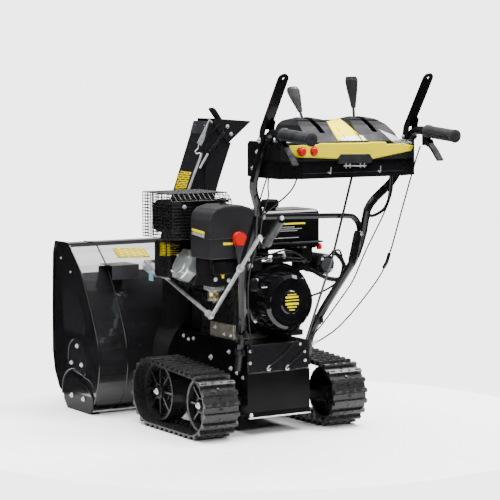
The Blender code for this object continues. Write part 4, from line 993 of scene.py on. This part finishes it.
# ---------------------------------------------------------------- stage
def stage_scene():
    """Plain floor, pale backdrop, surroundings and three soft lights."""
    bm = bmesh.new()
    bmesh.ops.create_circle(bm, cap_ends=True, radius=1.0, segments=96)
    mesh = bpy.data.meshes.new("floor")
    bm.to_mesh(mesh)
    bm.free()
    floor = bpy.data.objects.new("floor", mesh)
    bpy.context.scene.collection.objects.link(floor)
    made, tree, shader = principled("floor")
    tone = noise(tree, 0.6)
    tree.links.new(blended(tree, tone.outputs["Fac"], (0.93, 0.93, 0.93), (0.95, 0.95, 0.95)),
        shader.inputs["Base Color"])
    fill(shader, {"Roughness": 0.9, "Specular IOR Level": 0.1})
    mesh.materials.append(made)
    world = bpy.data.worlds.new("studio")
    world.use_nodes = True
    tree = world.node_tree
    place = tree.nodes.new("ShaderNodeTexCoord")
    split = tree.nodes.new("ShaderNodeSeparateXYZ")
    tree.links.new(place.outputs["Generated"], split.inputs["Vector"])

    def sky_patch(x_range, y_range, z_range, soft=0.03):
        """1 for directions whose components lie in the three ranges, 0 for others."""
        product = None
        for axis, (low, high) in zip("XYZ", (x_range, y_range, z_range)):
            for start, end in ((low - soft, low), (high + soft, high)):
                edge = spread(tree, split.outputs[axis], 0.0, 1.0, start, end)
                if product is None:
                    product = edge
                    continue
                times = tree.nodes.new("ShaderNodeMath")
                times.operation = "MULTIPLY"
                tree.links.new(product, times.inputs[0])
                tree.links.new(edge, times.inputs[1])
                product = times.outputs["Value"]
        return product

    def background(colour, strength=1.0):
        made = tree.nodes.new("ShaderNodeBackground")
        made.inputs["Strength"].default_value = strength
        if isinstance(colour, tuple):
            made.inputs["Color"].default_value = (*colour, 1)
        else:
            tree.links.new(colour, made.inputs["Color"])
        return made.outputs["Background"]

    def either(factor, first, second):
        mixer = tree.nodes.new("ShaderNodeMixShader")
        tree.links.new(factor, mixer.inputs[0])
        tree.links.new(first, mixer.inputs[1])
        tree.links.new(second, mixer.inputs[2])
        return mixer.outputs["Shader"]

    # what glossy surfaces reflect: a dark surround with bright patches
    seen = (0.035, 0.035, 0.037)
    for area, tone in ((sky_patch((-2, 2), (-2, 2), (0.80, 2), 0.10), (0.9, 0.9, 0.9)),
                       (sky_patch((0.2, 0.8), (0.6, 2), (0.02, 0.14)), (0.6, 0.6, 0.6)),
                       (sky_patch((0.28, 0.74), (-0.16, 0.22), (0.3, 2)), (24.0, 24.0, 24.0)),
                       (sky_patch((-2, -0.82), (-0.5, 0.3), (0.12, 0.42)), (5.0, 5.0, 5.0)),
                       (sky_patch((0.1, 0.45), (-2, -0.6), (0.30, 0.5)), (6.0, 6.0, 6.0))):
        seen = blended(tree, area, seen, tone)
    # what lights the scene: a narrow ceiling over a dark surround
    above = spread(tree, split.outputs["Z"], 0.0, 1.0, 0.72, 0.80)
    lamp = background(blended(tree, above, (0.05, 0.05, 0.052), (10.0, 10.0, 10.0)))
    path = tree.nodes.new("ShaderNodeLightPath")
    lit = either(path.outputs["Is Glossy Ray"], lamp, background(seen))
    shown = either(path.outputs["Is Camera Ray"], lit, background((1, 1, 1), 4.0))
    tree.links.new(shown, tree.nodes["World Output"].inputs["Surface"])
    bpy.context.scene.world = world
    for name, place, aim, size, power in (
            ("softbox", (1.9, -0.3, 3.9), (-0.15, 0.48, 0.5), (1.3, 1.3), 220),
            ("left", (-3.6, -2.4, 2.6), (0, 0, 0.5), (0.35, 2.4), 26),
            ("rear", (1.6, -4.8, 2.6), (0, 0, 0.7), (0.9, 0.9), 130)):
        light = bpy.data.lights.new(name, "AREA")
        light.shape = "RECTANGLE"
        light.size, light.size_y = size
        light.energy = power
        ob = bpy.data.objects.new(name, light)
        ob.location = place
        ob.visible_glossy = False
        ob.rotation_euler = (Vector(aim) - Vector(place)).to_track_quat("-Z", "Y").to_euler()
        bpy.context.scene.collection.objects.link(ob)


stage_scene()
